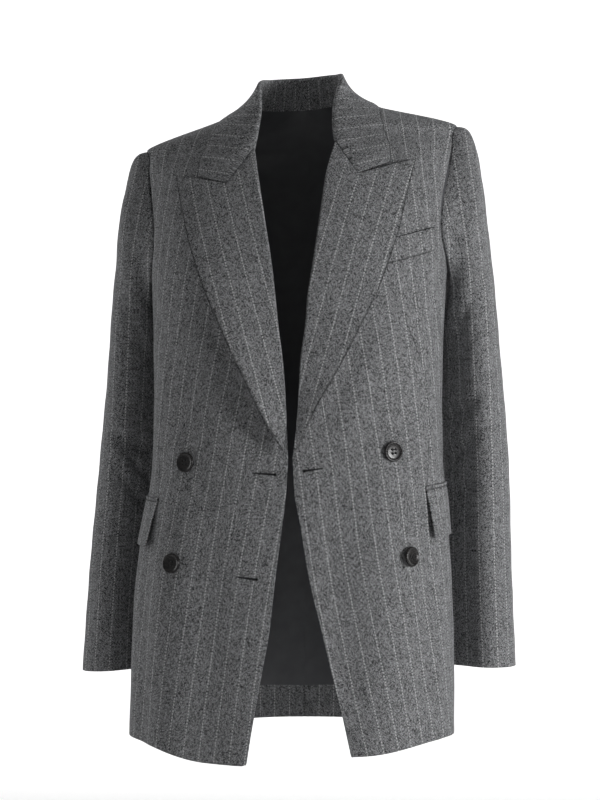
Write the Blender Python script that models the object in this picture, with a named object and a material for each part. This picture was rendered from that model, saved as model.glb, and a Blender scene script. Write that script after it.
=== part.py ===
"""A worn double breasted blazer, open at the front: hollow cloth walls on a general figure.

Lengths in the tables are millimetres. The garment faces -Y, +X is the wearer's left, and the
origin lies between the shoulders, where the wearer carries it.
"""
import math

import bpy
import numpy as np
from mathutils import Vector

for old in list(bpy.data.objects):
    bpy.data.objects.remove(old, do_unlink=True)

MM = 0.001
CLOTH = 2.0  # one wall of wool cloth with its interlining
SEAM = 0.3  # clearance between two sewn pieces
LYING = 0.6  # clearance under a piece that lies on a panel
ROLL = 2.6  # radius of the soft fold at the lapel and collar, at mid cloth
LAPEL_LIFT = 4.1  # mid cloth of the lapel's edge above the front
POCKET_CLOTH = 1.4
BUTTON_THICK = 3.4

WOOL = (0.105, 0.108, 0.115)
WOOL_DARK = (0.085, 0.088, 0.095)
HORN = (0.012, 0.011, 0.011)


def table(columns, rows):
    """A table as one array for each named column."""
    return dict(zip(columns.split(), np.array(rows, float).T))


# The outer face of the body at each height: superellipse sections, front and back halves.
BODY = table(
    "z      width side_y front_y back_y front_n back_n",
    [
        (16, 60, 8, -36, 56, 1.50, 1.75),
        (8, 70, 8, -46, 65, 1.40, 1.65),
        (0, 90, 8, -55, 73, 1.35, 1.55),
        (-34, 184.5, 8, -79, 98, 1.35, 1.55),
        (-60, 184, 6, -99, 112, 1.75, 1.95),
        (-100, 180.5, 2, -122, 124, 2.15, 2.15),
        (-150, 176, -8, -142, 128, 2.35, 2.10),
        (-200, 172.5, -20, -151, 124, 2.40, 2.00),
        (-260, 169.5, -30, -150, 112, 2.40, 1.90),
        (-340, 168, -34, -145, 98, 2.35, 1.85),
        (-410, 169.5, -35, -146, 100, 2.35, 1.85),
        (-470, 176.5, -35, -151, 112, 2.35, 1.85),
        (-560, 185, -35, -157, 128, 2.35, 1.85),
        (-650, 188.5, -35, -161, 136, 2.30, 1.85),
        (-790, 190.5, -35, -165, 138, 2.30, 1.85),
    ],
)

# Soft folds of the hanging body: a trough (or ridge, depth below 0) down a line of angles.
FOLDS = table(
    "side angle_top angle_low z_top z_low half_angle depth",
    [
        (1, 152, 150, -210, -800, 9, 6),
        (-1, 149, 154, -230, -800, 10, 7),
        (1, 125, 128, -330, -800, 8, -4),
        (-1, 127, 125, -300, -800, 8, -4),
        (1, 44, 38, -250, -800, 8, 3.5),
        (-1, 42, 36, -270, -800, 9, 4),
        (1, 66, 60, -330, -800, 7, -3),
        (-1, 67, 62, -320, -800, 7, -3),
    ],
)

# How the worn garment leans: the centre line sways and the wearer's left hangs higher.
SWAY = table("z x", [(0, 4), (-220, 5), (-400, 3.5), (-550, -1), (-720, -3)])
TILT = table("z slope", [(0, 0.073), (-407, 0.054), (-529, 0.029), (-765, 0.011)])

# Distance of each free front edge and each lapel line from the centre line.
FRONT_EDGE = table(
    "z      left right",
    [
        (-407, 4.6, 1.2),
        (-445, 8, 2.2),
        (-485, 17, 5.2),
        (-540, 28, 10.4),
        (-600, 43.5, 16),
        (-645, 55, 23.5),
        (-690, 67, 31),
        (-760, 83, 42),
    ],
)
ROLL_LINE = table(
    "z      left right",
    [
        (-52, 48.5, 47.5),
        (-88, 41, 40.5),
        (-140, 35, 31),
        (-190, 28.5, 22.5),
        (-225, 23, 18.5),
        (-262, 19.5, 14.5),
        (-300, 14, 9.5),
        (-350, 10.5, 5),
        (-380, 7.5, 2.4),
        (-407, 4.6, 1.2),
    ],
)
LAPEL_EDGE = table(
    "z      left right",
    [
        (-76, 135.5, 133.5),
        (-117, 126.5, 122.5),
        (-153, 119, 112.5),
        (-185, 109.5, 102),
        (-221, 96.5, 88.5),
        (-268, 74.5, 68.5),
        (-312, 51.5, 49),
        (-353, 29, 31),
        (-382, 15.5, 15.5),
        (-398, 9, 5.6),
    ],
)
HEM = table(
    "angle left right",
    [(0, -743, -752), (25, -741, -748), (50, -733, -733), (75, -728, -727), (180, -729, -729)],
)

# The gorge seam's corner, the collar's tip and the neck seam, as x and z on the front.
GORGE_CORNER = (74, -90)
COLLAR_TIP = (109, -79)
NECK_SEAM = table("z x", [(-52, 48), (-36, 54.5), (-18, 60), (0, 63.5), (11, 66.5)])
NECK_POINT_Z = 11
BACK_NECK_Z = 9
SHOULDER_POINT_Z = -34

# The armhole as seen from the side, from the shoulder point forward, down and round the back.
ARMHOLE = table(
    "y z",
    [
        (8, -34),
        (-14, -62),
        (-36, -95),
        (-55, -130),
        (-57, -162),
        (-38, -189),
        (0, -201),
        (36, -193),
        (59, -166),
        (67, -130),
        (60, -93),
        (38, -58),
    ],
)
FRONT_NOTCH = 5  # row of ARMHOLE where the front meets the side panel
BACK_NOTCH = 8  # and where the side panel meets the back
SIDE_SEAMS = table("z front back", [(-170, 84, 119), (-340, 84, 117), (-450, 84, 119), (-790, 82, 124)])

# The sleeve: outer and inner lines of the tube as seen from the front, and its depth.
SLEEVE_OUTER = table(
    "x y z",
    [
        (184.5, 8, -34),
        (194, 9, -36.5),
        (201, 10, -44),
        (207, 12, -60),
        (211, 15, -80),
        (216.5, 22, -125),
        (221.5, 31, -181),
        (227, 39, -240),
        (233, 45, -302),
        (238, 49, -348),
        (243.5, 50, -411),
        (248.5, 50, -480),
        (254, 49, -569),
        (259, 47, -659),
    ],
)
SLEEVE_INNER = table(
    "x y z",
    [
        (172, 4, -201),
        (173, 14, -214),
        (168, 27, -236),
        (160, 36, -266),
        (157, 44, -306),
        (158, 49, -350),
        (163, 52, -420),
        (167, 54, -500),
        (171, 53, -580),
        (173.5, 51, -656),
    ],
)
SLEEVE_DEPTH = table(
    "along half turn",
    [(0, 62, 2), (0.12, 66, 6), (0.3, 67, 11), (0.5, 62, 10), (0.7, 56, 9), (1, 49, 7)],
)
SLEEVE_FOLDS = table(
    "side angle along half_angle half_along depth",
    [
        (1, 230, 0.50, 60, 0.020, 3.5),
        (1, 250, 0.56, 50, 0.018, 3.0),
        (-1, 235, 0.49, 60, 0.022, 4.0),
        (-1, 215, 0.55, 50, 0.018, 3.0),
        (1, 95, 0.24, 45, 0.03, 3.0),
        (-1, 85, 0.22, 45, 0.03, 3.0),
        (1, 320, 0.20, 40, 0.03, 2.5),
        (-1, 325, 0.22, 40, 0.03, 2.5),
    ],
)

# The collar's stations from its front end round to the centre back. The fold's centre runs in
# space, the free edge lies on the body, and the neck seam is where the stand is sewn on.
COLLAR_FOLD = table("x y z", [(46, -72, -30), (45, -40, 2), (48.5, 2, 35), (37, 41, 42), (0, 57, 43)])
COLLAR_EDGE = table(
    "angle z arch",
    [(40.2, -46, 2.5), (50.5, -17.5, 0), (90, -1, -4.5), (134, -5, -3), (180, -5, -2)],
)

BUTTONS = table(
    "side row x z",
    [(1, 1, 116, -404.5), (-1, 1, 119, -404.5), (1, 2, 140, -521.5), (-1, 2, 131, -522)],
)
WELT = table("corner x z", [(1, 80, -172), (2, 159.5, -152.5), (3, 160, -179.5), (4, 80, -199)])
FLAP_LENGTH_ANGLE = 44
FLAP_FRONT = table("z x", [(-450, 154), (-503, 162)])
FLAP_REAR_RISE = 4
JET_HEIGHT = 5


# ---------------------------------------------------------------- curves and the body's form


def smooth(rows, along, name, at):
    """Monotone cubic through one column of a table, read at values of another column."""
    order = np.argsort(rows[along])
    x, y = rows[along][order], rows[name][order]
    step = np.diff(x)
    slope = np.diff(y) / step
    bend = np.concatenate([slope[:1], np.zeros(len(x) - 2), slope[-1:]])
    for i in range(1, len(x) - 1):
        if slope[i - 1] * slope[i] > 0:
            bend[i] = 2 * slope[i - 1] * slope[i] / (slope[i - 1] + slope[i])
    at = np.clip(np.asarray(at, float), x[0], x[-1])
    i = np.clip(np.searchsorted(x, at) - 1, 0, len(x) - 2)
    t = (at - x[i]) / step[i]
    start = (2 * t**3 - 3 * t**2 + 1) * y[i] + (t**3 - 2 * t**2 + t) * step[i] * bend[i]
    end = (3 * t**2 - 2 * t**3) * y[i + 1] + (t**3 - t**2) * step[i] * bend[i + 1]
    return start + end


def spline(points, at, closed=False):
    """Catmull-Rom through the points, read at station numbers from 0 up."""
    points = np.asarray(points, float)
    if closed:
        ends = np.vstack([points[-1:], points, points[:2]])
    else:
        ends = np.vstack([2 * points[0] - points[1], points, 2 * points[-1] - points[-2]])
    i = np.clip(np.asarray(at, float).astype(int), 0, len(ends) - 4)
    t = (at - i)[:, None]
    a, b, c, d = ends[i], ends[i + 1], ends[i + 2], ends[i + 3]
    bend = (2 * a - 5 * b + 4 * c - d) * t**2 + (3 * b - a - 3 * c + d) * t**3
    return 0.5 * (2 * b + (c - a) * t + bend)


def through(points, count, closed=False):
    """An even run of points on a smooth curve through the given ones."""
    stations = len(points) if closed else len(points) - 1
    return evenly(spline(points, np.linspace(0, stations, 12 * stations + 1), closed), count)


def evenly(points, count, shape=None):
    """Resample a polyline to count points at equal lengths, measured on shape if given."""
    shape = points if shape is None else shape
    length = np.concatenate([[0], np.cumsum(np.linalg.norm(np.diff(shape, axis=0), axis=1))])
    wanted = np.linspace(0, length[-1], count)
    return np.stack([np.interp(wanted, length, column) for column in points.T], axis=1)


def unit(vectors):
    return vectors / np.maximum(np.linalg.norm(vectors, axis=-1, keepdims=True), 1e-9)


def plain_body(angle, z):
    """The body's form without folds: angle 0 is the centre front, 90 the side, 180 the back."""
    turn = np.radians(angle)
    width, side_y = smooth(BODY, "z", "width", z), smooth(BODY, "z", "side_y", z)
    front_n, back_n = smooth(BODY, "z", "front_n", z), smooth(BODY, "z", "back_n", z)
    front_y, back_y = smooth(BODY, "z", "front_y", z), smooth(BODY, "z", "back_y", z)
    sine, cosine = np.sin(turn), np.cos(turn)
    power = np.where(cosine > 0, 2 / front_n, 2 / back_n)
    depth = np.where(cosine > 0, front_y - side_y, back_y - side_y)
    x = width * np.sign(sine) * np.abs(sine) ** power
    y = side_y + depth * np.abs(cosine) ** power
    return np.stack(np.broadcast_arrays(x, y, z), axis=-1).astype(float)


def outward(angle, z):
    """The unit normal of the plain body."""
    across = plain_body(angle + 0.5, z) - plain_body(angle - 0.5, z)
    up = plain_body(angle, z + 1.0) - plain_body(angle, z - 1.0)
    return unit(np.cross(across, up))


def fold_depth(angle, z, side):
    """How far the soft folds press the cloth in at a place on the body."""
    depth = np.zeros(np.broadcast(angle, z).shape)
    for i in np.flatnonzero(FOLDS["side"] == side):
        fold = {name: column[i] for name, column in FOLDS.items()}
        down = np.clip((fold["z_top"] - z) / (fold["z_top"] - fold["z_low"]), 0, 1)
        centre = fold["angle_top"] + down * (fold["angle_low"] - fold["angle_top"])
        fade = np.sin(np.minimum(2 * down, 1) * np.pi / 2) ** 2
        depth = depth + fold["depth"] * fade * np.exp(-(((angle - centre) / fold["half_angle"]) ** 2))
    return depth


def on_body(angle, z, side, lift=0.0):
    """A point of the body's outer face, or one lifted off it."""
    angle, z = np.broadcast_arrays(np.asarray(angle, float), np.asarray(z, float))
    rise = lift - fold_depth(angle, z, side)
    return plain_body(angle, z) + outward(angle, z) * rise[..., None]


def front_angle(x, z):
    """The angle at which the front of the body passes a distance x from the centre line."""
    ratio = np.clip(np.asarray(x, float) / smooth(BODY, "z", "width", z), 0, 1)
    return np.degrees(np.arcsin(ratio ** (smooth(BODY, "z", "front_n", z) / 2)))


def depth_angle(y, z):
    """The angle at which the side of the body passes a depth y."""
    side_y = smooth(BODY, "z", "side_y", z)
    if y < side_y:
        ratio = (side_y - y) / (side_y - smooth(BODY, "z", "front_y", z))
        return np.degrees(np.arccos(ratio ** (smooth(BODY, "z", "front_n", z) / 2)))
    ratio = (y - side_y) / (smooth(BODY, "z", "back_y", z) - side_y)
    return 180 - np.degrees(np.arccos(ratio ** (smooth(BODY, "z", "back_n", z) / 2)))


def coons(left, right, low, top):
    """A grid between four edges: rows run up, columns run from left to right."""
    v = np.linspace(0, 1, len(left))[:, None, None]
    u = np.linspace(0, 1, len(low))[None, :, None]
    ruled = (1 - u) * left[:, None] + u * right[:, None] + (1 - v) * low[None] + v * top[None]
    corners = (1 - v) * ((1 - u) * left[0] + u * right[0]) + v * ((1 - u) * left[-1] + u * right[-1])
    return ruled - corners


def panel_grid(left, right, low, top, centre):
    """A panel's grid of (angle, z) between its edges, spread evenly over the half from a centre."""
    edges = []
    for edge in (left, right, low, top):
        across = (edge[:, 0] - centre) / 90 * smooth(BODY, "z", "width", edge[:, 1])
        edges.append(np.stack([across, edge[:, 1]], axis=1))
    grid = coons(*edges)
    angle = centre + 90 * grid[..., 0] / smooth(BODY, "z", "width", grid[..., 1])
    return np.stack([angle, grid[..., 1]], axis=-1)


# ---------------------------------------------------------------- solids


def hang(points, side):
    """Put a point of the square garment where the worn one hangs, and mirror the right side."""
    x, y, z = points[..., 0] * side, points[..., 1], points[..., 2]
    x_worn = x + smooth(SWAY, "z", "x", z)
    return np.stack([x_worn, y, z + smooth(TILT, "z", "slope", z) * x], axis=-1) * MM


def material(name, colour, roughness):
    made = bpy.data.materials.get(name) or bpy.data.materials.new(name)
    made.use_nodes = True
    shader = made.node_tree.nodes["Principled BSDF"]
    shader.inputs["Base Color"].default_value = (*colour, 1)
    shader.inputs["Roughness"].default_value = roughness
    shader.inputs["Metallic"].default_value = 0
    return made


def add_mesh(name, points, faces, finish):
    mesh = bpy.data.meshes.new(name)
    mesh.from_pydata([tuple(p) for p in points], [], faces)
    mesh.materials.append(finish)
    mesh.shade_smooth()
    mesh.set_sharp_from_angle(angle=math.radians(40))
    piece = bpy.data.objects.new(name, mesh)
    bpy.context.scene.collection.objects.link(piece)
    return piece


def add_wall(name, outer, inner, side, finish):
    """A closed wall of cloth between an outer and an inner grid of the same shape."""
    rows, columns = outer.shape[:2]
    points = np.concatenate([hang(outer, side).reshape(-1, 3), hang(inner, side).reshape(-1, 3)])
    index = np.arange(rows * columns).reshape(rows, columns)
    back = index + rows * columns
    faces = []
    for i in range(rows - 1):
        for j in range(columns - 1):
            faces.append((index[i, j], index[i, j + 1], index[i + 1, j + 1], index[i + 1, j]))
            faces.append((back[i, j], back[i + 1, j], back[i + 1, j + 1], back[i, j + 1]))
    rim = [(i, 0) for i in range(rows)] + [(rows - 1, j) for j in range(1, columns)]
    rim += [(i, columns - 1) for i in range(rows - 2, -1, -1)]
    rim += [(0, j) for j in range(columns - 2, 0, -1)]
    for a, b in zip(rim, rim[1:] + rim[:1]):
        # Both pieces of a seam split their rims along the same diagonal, so that they stay apart.
        if a < b:
            faces += [(index[a], index[b], back[b]), (index[a], back[b], back[a])]
        else:
            faces += [(index[a], index[b], back[a]), (index[b], back[b], back[a])]
    faces = [tuple(int(k) for k in face) for face in faces]
    if side < 0:
        faces = [face[::-1] for face in faces]
    return add_mesh(name, points, faces, finish)


def inset(grid, edges, by=SEAM / 2):
    """Draw the named edges of a grid in, square to themselves, for the seam's clearance."""
    grid = grid.copy()
    lines = {
        "left": (np.s_[:, 0], np.s_[:, 1]),
        "right": (np.s_[:, -1], np.s_[:, -2]),
        "low": (np.s_[0], np.s_[1]),
        "top": (np.s_[-1], np.s_[-2]),
    }
    for name in edges:
        edge, beside = lines[name]
        along = unit(np.gradient(grid[edge], axis=0))
        inward = grid[beside] - grid[edge]
        inward = inward - np.sum(inward * along, axis=1, keepdims=True) * along
        grid[edge] += by * unit(inward)
    return grid


def side_name(side):
    return "left" if side > 0 else "right"


def edge_curve(rows, side, low, high, count):
    """A run of a front line as (angle, z) points, from its low end to its high end."""
    z = np.linspace(low, high, 60)
    x = smooth(rows, "z", side_name(side), z)
    points = np.stack([front_angle(x, z), z], axis=1)
    return evenly(points, count, plain_body(*points.T))


def add_panel(name, domain, side, edges, colour):
    """A body panel from its grid of (angle, z) points."""
    outer = inset(on_body(domain[..., 0], domain[..., 1], side), edges)
    inner = outer - CLOTH * outward(domain[..., 0], domain[..., 1])
    add_wall(name, outer, inner, side, material("wool_" + name, colour, 0.85))


# ---------------------------------------------------------------- the body's panels

EDGE_ROWS = 7  # cells up the free front edge
ROLL_ROWS = 10  # up the roll line
NECK_ROWS = 5  # up the front neck seam
SIDE_ROWS = 12  # up the side seams
ARMHOLE_ROWS = EDGE_ROWS + ROLL_ROWS + NECK_ROWS - SIDE_ROWS
UNDERARM_CELLS = 4
SHOULDER_CELLS = 8
BACK_NECK_CELLS = 4
BREAK_Z = -407


def armhole_loop():
    """The whole armhole as (angle, z) points on the body, split where the panels meet."""
    loop = through(np.stack([ARMHOLE["y"], ARMHOLE["z"]], axis=1), 12 * 12 + 1, closed=True)
    angles = np.array([depth_angle(y, z) for y, z in loop])
    points = np.stack([angles, loop[:, 1]], axis=1)
    first, second = [
        int(np.argmin(np.hypot(loop[:, 0] - ARMHOLE["y"][k], loop[:, 1] - ARMHOLE["z"][k])))
        for k in (FRONT_NOTCH, BACK_NOTCH)
    ]
    runs = (points[: first + 1], points[first : second + 1], points[second:])
    lengths = (ARMHOLE_ROWS, UNDERARM_CELLS, ARMHOLE_ROWS)
    return [evenly(run, cells + 1, plain_body(*run.T)) for run, cells in zip(runs, lengths)]


def hem_z(angle, side):
    return smooth(HEM, "angle", side_name(side), angle)


def side_seam(name, side, top):
    """A side seam as (angle, z) points from the hem up to its notch in the armhole."""
    low = hem_z(84, side)
    z = np.linspace(low, top[1], 40)
    to_notch = top[0] - smooth(SIDE_SEAMS, "z", name, top[1])
    angle = smooth(SIDE_SEAMS, "z", name, z) + to_notch * np.linspace(0, 1, 40) ** 3
    return evenly(np.stack([angle, z], axis=1), SIDE_ROWS + 1)


def hem_line(start, end, cells, side):
    angle = np.linspace(start, end, cells + 1)
    return np.stack([angle, hem_z(angle, side)], axis=1)


def front_domain(side):
    armhole_front = armhole_loop()[0][::-1]
    right = np.vstack([side_seam("front", side, armhole_front[0]), armhole_front[1:]])
    low_z = hem_z(20, side)
    edge = edge_curve(FRONT_EDGE, side, low_z, BREAK_Z, EDGE_ROWS + 1)
    roll = edge_curve(ROLL_LINE, side, BREAK_Z, ROLL_LINE["z"].max(), ROLL_ROWS + 1)
    neck_z = np.linspace(ROLL_LINE["z"].max(), NECK_POINT_Z, 40)
    neck = np.stack([front_angle(smooth(NECK_SEAM, "z", "x", neck_z), neck_z), neck_z], axis=1)
    neck[0], neck[-1, 0] = roll[-1], 90
    neck = evenly(neck, NECK_ROWS + 1, plain_body(*neck.T))
    left = np.vstack([edge, roll[1:], neck[1:]])
    shoulder = np.stack([np.full(60, 90.0), np.linspace(NECK_POINT_Z, SHOULDER_POINT_Z, 60)], axis=1)
    top = evenly(shoulder, SHOULDER_CELLS + 1, plain_body(*shoulder.T))
    hem = hem_line(left[0, 0], right[0, 0], SHOULDER_CELLS, side)
    hem[0] = left[0]
    right[0] = hem[-1]
    return panel_grid(left, right, hem, top, 0), roll


def side_domain(side):
    front, under, back = armhole_loop()
    left = side_seam("front", side, under[0])
    right = side_seam("back", side, under[-1])
    hem = hem_line(left[0, 0], right[0, 0], UNDERARM_CELLS, side)
    left[0], right[0] = hem[0], hem[-1]
    return panel_grid(left, right, hem, under, 0)


def back_domain(side):
    armhole_back = armhole_loop()[2]
    left = np.vstack([side_seam("back", side, armhole_back[0]), armhole_back[1:]])
    blade_z = -205
    low = np.linspace(hem_z(180, side), blade_z, SIDE_ROWS + 1)
    z = np.concatenate([low, np.linspace(blade_z, BACK_NECK_Z, ARMHOLE_ROWS + 1)[1:]])
    right = np.stack([np.full(len(left), 180.0), z], axis=1)
    shoulder = np.stack([np.full(60, 90.0), np.linspace(SHOULDER_POINT_Z, NECK_POINT_Z, 60)], axis=1)
    shoulder = evenly(shoulder, SHOULDER_CELLS + 1, plain_body(*shoulder.T))
    neck = np.stack([np.linspace(90, 180, 40), np.linspace(NECK_POINT_Z, BACK_NECK_Z, 40)], axis=1)
    neck = evenly(neck, BACK_NECK_CELLS + 1, plain_body(*neck.T))
    top = np.vstack([shoulder, neck[1:]])
    hem = hem_line(left[0, 0], 180, SHOULDER_CELLS + BACK_NECK_CELLS, side)
    left[0], right[0] = hem[0], hem[-1]
    return panel_grid(left, right, hem, top, 180)


# ---------------------------------------------------------------- sleeves

SLEEVE_RINGS = 19
CAP_SHARE = 0.13  # of the sleeve's length in which the armhole's shape turns into the tube's


def sleeve_grid(side):
    """Rings of the sleeve's outer face and inner face, from the armhole to the cuff."""
    front, under, back = armhole_loop()
    domain = np.vstack([front, under[1:], back[1:]])
    start = on_body(domain[:, 0], domain[:, 1], side)
    body_out = outward(domain[:, 0], domain[:, 1])
    onward = into_opening(start, body_out, start[:-1].mean(axis=0))
    onward[0] = onward[-1] = unit(onward[0] + onward[-1])
    outer_line = through(np.stack([SLEEVE_OUTER[k] for k in "xyz"], axis=1), SLEEVE_RINGS)
    inner_line = through(np.stack([SLEEVE_INNER[k] for k in "xyz"], axis=1), SLEEVE_RINGS)
    angles = sleeve_angles(start, outer_line[0], inner_line[0])
    rings = []
    for k, share in enumerate(np.linspace(0, 1, SLEEVE_RINGS)):
        middle = (outer_line[k] + inner_line[k]) / 2
        to_outer = (outer_line[k] - inner_line[k]) / 2
        half = smooth(SLEEVE_DEPTH, "along", "half", share)
        turn = math.radians(smooth(SLEEVE_DEPTH, "along", "turn", share))
        to_front = half * np.array([math.sin(turn), -math.cos(turn), 0])
        ring = middle + np.cos(angles)[:, None] * to_outer + np.sin(angles)[:, None] * to_front
        keep = (1 - min(share / CAP_SHARE, 1)) ** 2 * (1 + 2 * min(share / CAP_SHARE, 1))
        if k == 0:
            first = start - ring
        rings.append(ring + keep * first)
    rings = np.array(rings)
    rings[0] = start + onward * SEAM
    normal = grid_normal(rings, closed=True)
    press = sleeve_fold_depth(np.linspace(0, 1, SLEEVE_RINGS)[:, None], np.degrees(angles)[None], side)
    rings = rings - normal * press[..., None]
    inner = rings - CLOTH * grid_normal(rings, closed=True)
    inner[0] = rings[0] - CLOTH * body_out
    return rings, inner, len(front), len(front) + len(under) - 1


def sleeve_angles(start, top, low):
    """The angle round the sleeve of each point of the armhole, 0 at the top and 90 in front."""
    length = np.concatenate([[0], np.cumsum(np.linalg.norm(np.diff(start, axis=0), axis=1))])
    bottom = int(np.argmin(np.linalg.norm(start - low, axis=1)))
    first = np.pi * length[: bottom + 1] / length[bottom]
    second = np.pi + np.pi * (length[bottom + 1 :] - length[bottom]) / (length[-1] - length[bottom])
    return np.concatenate([first, second])


def sleeve_fold_depth(share, angle, side):
    depth = np.zeros(np.broadcast(share, angle).shape)
    for i in np.flatnonzero(SLEEVE_FOLDS["side"] == side):
        fold = {name: column[i] for name, column in SLEEVE_FOLDS.items()}
        round_by = (angle - fold["angle"] + 180) % 360 - 180
        near = (round_by / fold["half_angle"]) ** 2 + ((share - fold["along"]) / fold["half_along"]) ** 2
        depth = depth + fold["depth"] * np.exp(-near)
    return depth


def into_opening(edge, normals, centre):
    """Unit vectors that run on from a panel's edge, in its surface, towards an opening's centre."""
    across = unit(np.cross(np.gradient(edge, axis=0), normals))
    return across * np.sign(np.sum(across * (centre - edge), axis=1, keepdims=True))


def grid_normal(grid, closed=False):
    """Unit normals of a grid whose rows run along and whose columns run round."""
    if closed:
        across = np.roll(grid[:, :-1], -1, axis=1) - np.roll(grid[:, :-1], 1, axis=1)
        across = np.concatenate([across, across[:, :1]], axis=1)
    else:
        across = np.gradient(grid, axis=1)
    return unit(np.cross(across, np.gradient(grid, axis=0)))


def add_sleeve(side):
    outer, inner, front_count, under_end = sleeve_grid(side)
    cut_front = front_count - 4
    cut_back = under_end + 3
    name = side_name(side)
    pieces = (
        ("upper_sleeve_", list(range(cut_back, outer.shape[1])) + list(range(1, cut_front + 1)), WOOL),
        ("under_sleeve_", list(range(cut_front, cut_back + 1)), WOOL_DARK),
    )
    for kind, columns, colour in pieces:
        face = inset(outer[:, columns], ("left", "right"))
        back = inset(inner[:, columns], ("left", "right"))
        add_wall(kind + name, face, back, side, material("wool_" + kind + name, colour, 0.85))


# ---------------------------------------------------------------- lapels and collar

LAPEL_CELLS = 7
CORNER_CELLS = 3  # cells from the roll line to the gorge corner
TURN = np.radians(np.linspace(270, 90, 6))
STAND_CELLS = 3
END_SHARE = 0.22  # of the collar's rows over which its front ends ease out of the gorge's bend


def gorge_line(start, end):
    """The gorge from the roll line to its corner, and on to a tip, as x and z on the front."""
    first = np.linspace(start, GORGE_CORNER, CORNER_CELLS + 1)
    return np.vstack([first, np.linspace(GORGE_CORNER, end, LAPEL_CELLS - CORNER_CELLS + 1)[1:]])


def leaf_lift():
    """Height of mid cloth above the front, from the roll line out to the free edge."""
    share = np.linspace(0, 1, LAPEL_CELLS + 1)
    return LAPEL_LIFT + (2 * ROLL - 1 - LAPEL_LIFT) * (1 - share) ** 3


def on_front(plane, side, lift):
    """Points over the front from their x and z."""
    return on_body(front_angle(plane[..., 0], plane[..., 1]), plane[..., 1], side, lift)


def roll_turn(centre, away, up):
    """The half round by which the cloth turns over at a fold, from its inner end outwards."""
    return np.stack([centre + ROLL * (math.cos(t) * away + math.sin(t) * up) for t in TURN], axis=1)


def turn_normals(away, up):
    return np.stack([math.cos(t) * away + math.sin(t) * up for t in TURN], axis=1)


def add_leaf(name, mid, normal, side):
    half = unit(normal) * CLOTH / 2
    add_wall(name, mid + half, mid - half, side, material("wool_" + name, WOOL, 0.85))


def add_lapel(side):
    name = side_name(side)
    rows = front_domain(side)[1][1:]
    base = on_body(rows[:, 0], rows[:, 1], side)
    up = outward(rows[:, 0], rows[:, 1])
    roll_xz = base[:, [0, 2]]
    edge_z = np.linspace(LAPEL_EDGE["z"].min(), LAPEL_EDGE["z"].max(), 80)
    edge_xz = evenly(np.stack([smooth(LAPEL_EDGE, "z", name, edge_z), edge_z], axis=1), len(rows))
    low = np.linspace(roll_xz[0], edge_xz[0], LAPEL_CELLS + 1)
    plane = coons(roll_xz, edge_xz, low, gorge_line(roll_xz[-1], edge_xz[-1]))
    leaf = on_front(plane, side, leaf_lift()[None])
    away = leaf[:, 1] - leaf[:, 0]
    away = unit(away - np.sum(away * up, axis=1, keepdims=True) * up)
    turn = roll_turn(base + up * (ROLL - 1) - away * (0.8 + SEAM), away, up)
    mid = np.concatenate([turn, leaf[:, 1:]], axis=1)
    leaf_up = outward(front_angle(plane[..., 0], plane[..., 1]), plane[..., 1])
    normal = np.concatenate([turn_normals(away, up), leaf_up[:, 1:]], axis=1)
    add_leaf("lapel_" + name, inset(mid, ("top",)), normal, side)


def neck_edge(side):
    """The neck seam's points on the panels and the panels' normals there, front to centre back."""
    front = front_domain(side)[0][-NECK_ROWS - 1 :, 0]
    back = back_domain(side)[-1, -BACK_NECK_CELLS - 1 :]
    domain = np.vstack([front, back[1:]])
    steps = np.arange(0, len(domain) - 0.75, 0.5)
    points = on_body(domain[:, 0], domain[:, 1], side)
    normals = outward(domain[:, 0], domain[:, 1])
    rows = np.arange(len(domain))
    points = np.stack([np.interp(steps, rows, column) for column in points.T], axis=1)
    normals = np.stack([np.interp(steps, rows, column) for column in normals.T], axis=1)
    return points, unit(normals)


def collar_stations():
    """Station numbers of the collar's rows: the front cells share 3 stations, the back cells 2."""
    front = np.linspace(0, 3, 2 * NECK_ROWS + 1)
    return np.concatenate([front, np.linspace(3, 5, 2 * BACK_NECK_CELLS + 1)[1:]])


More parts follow.
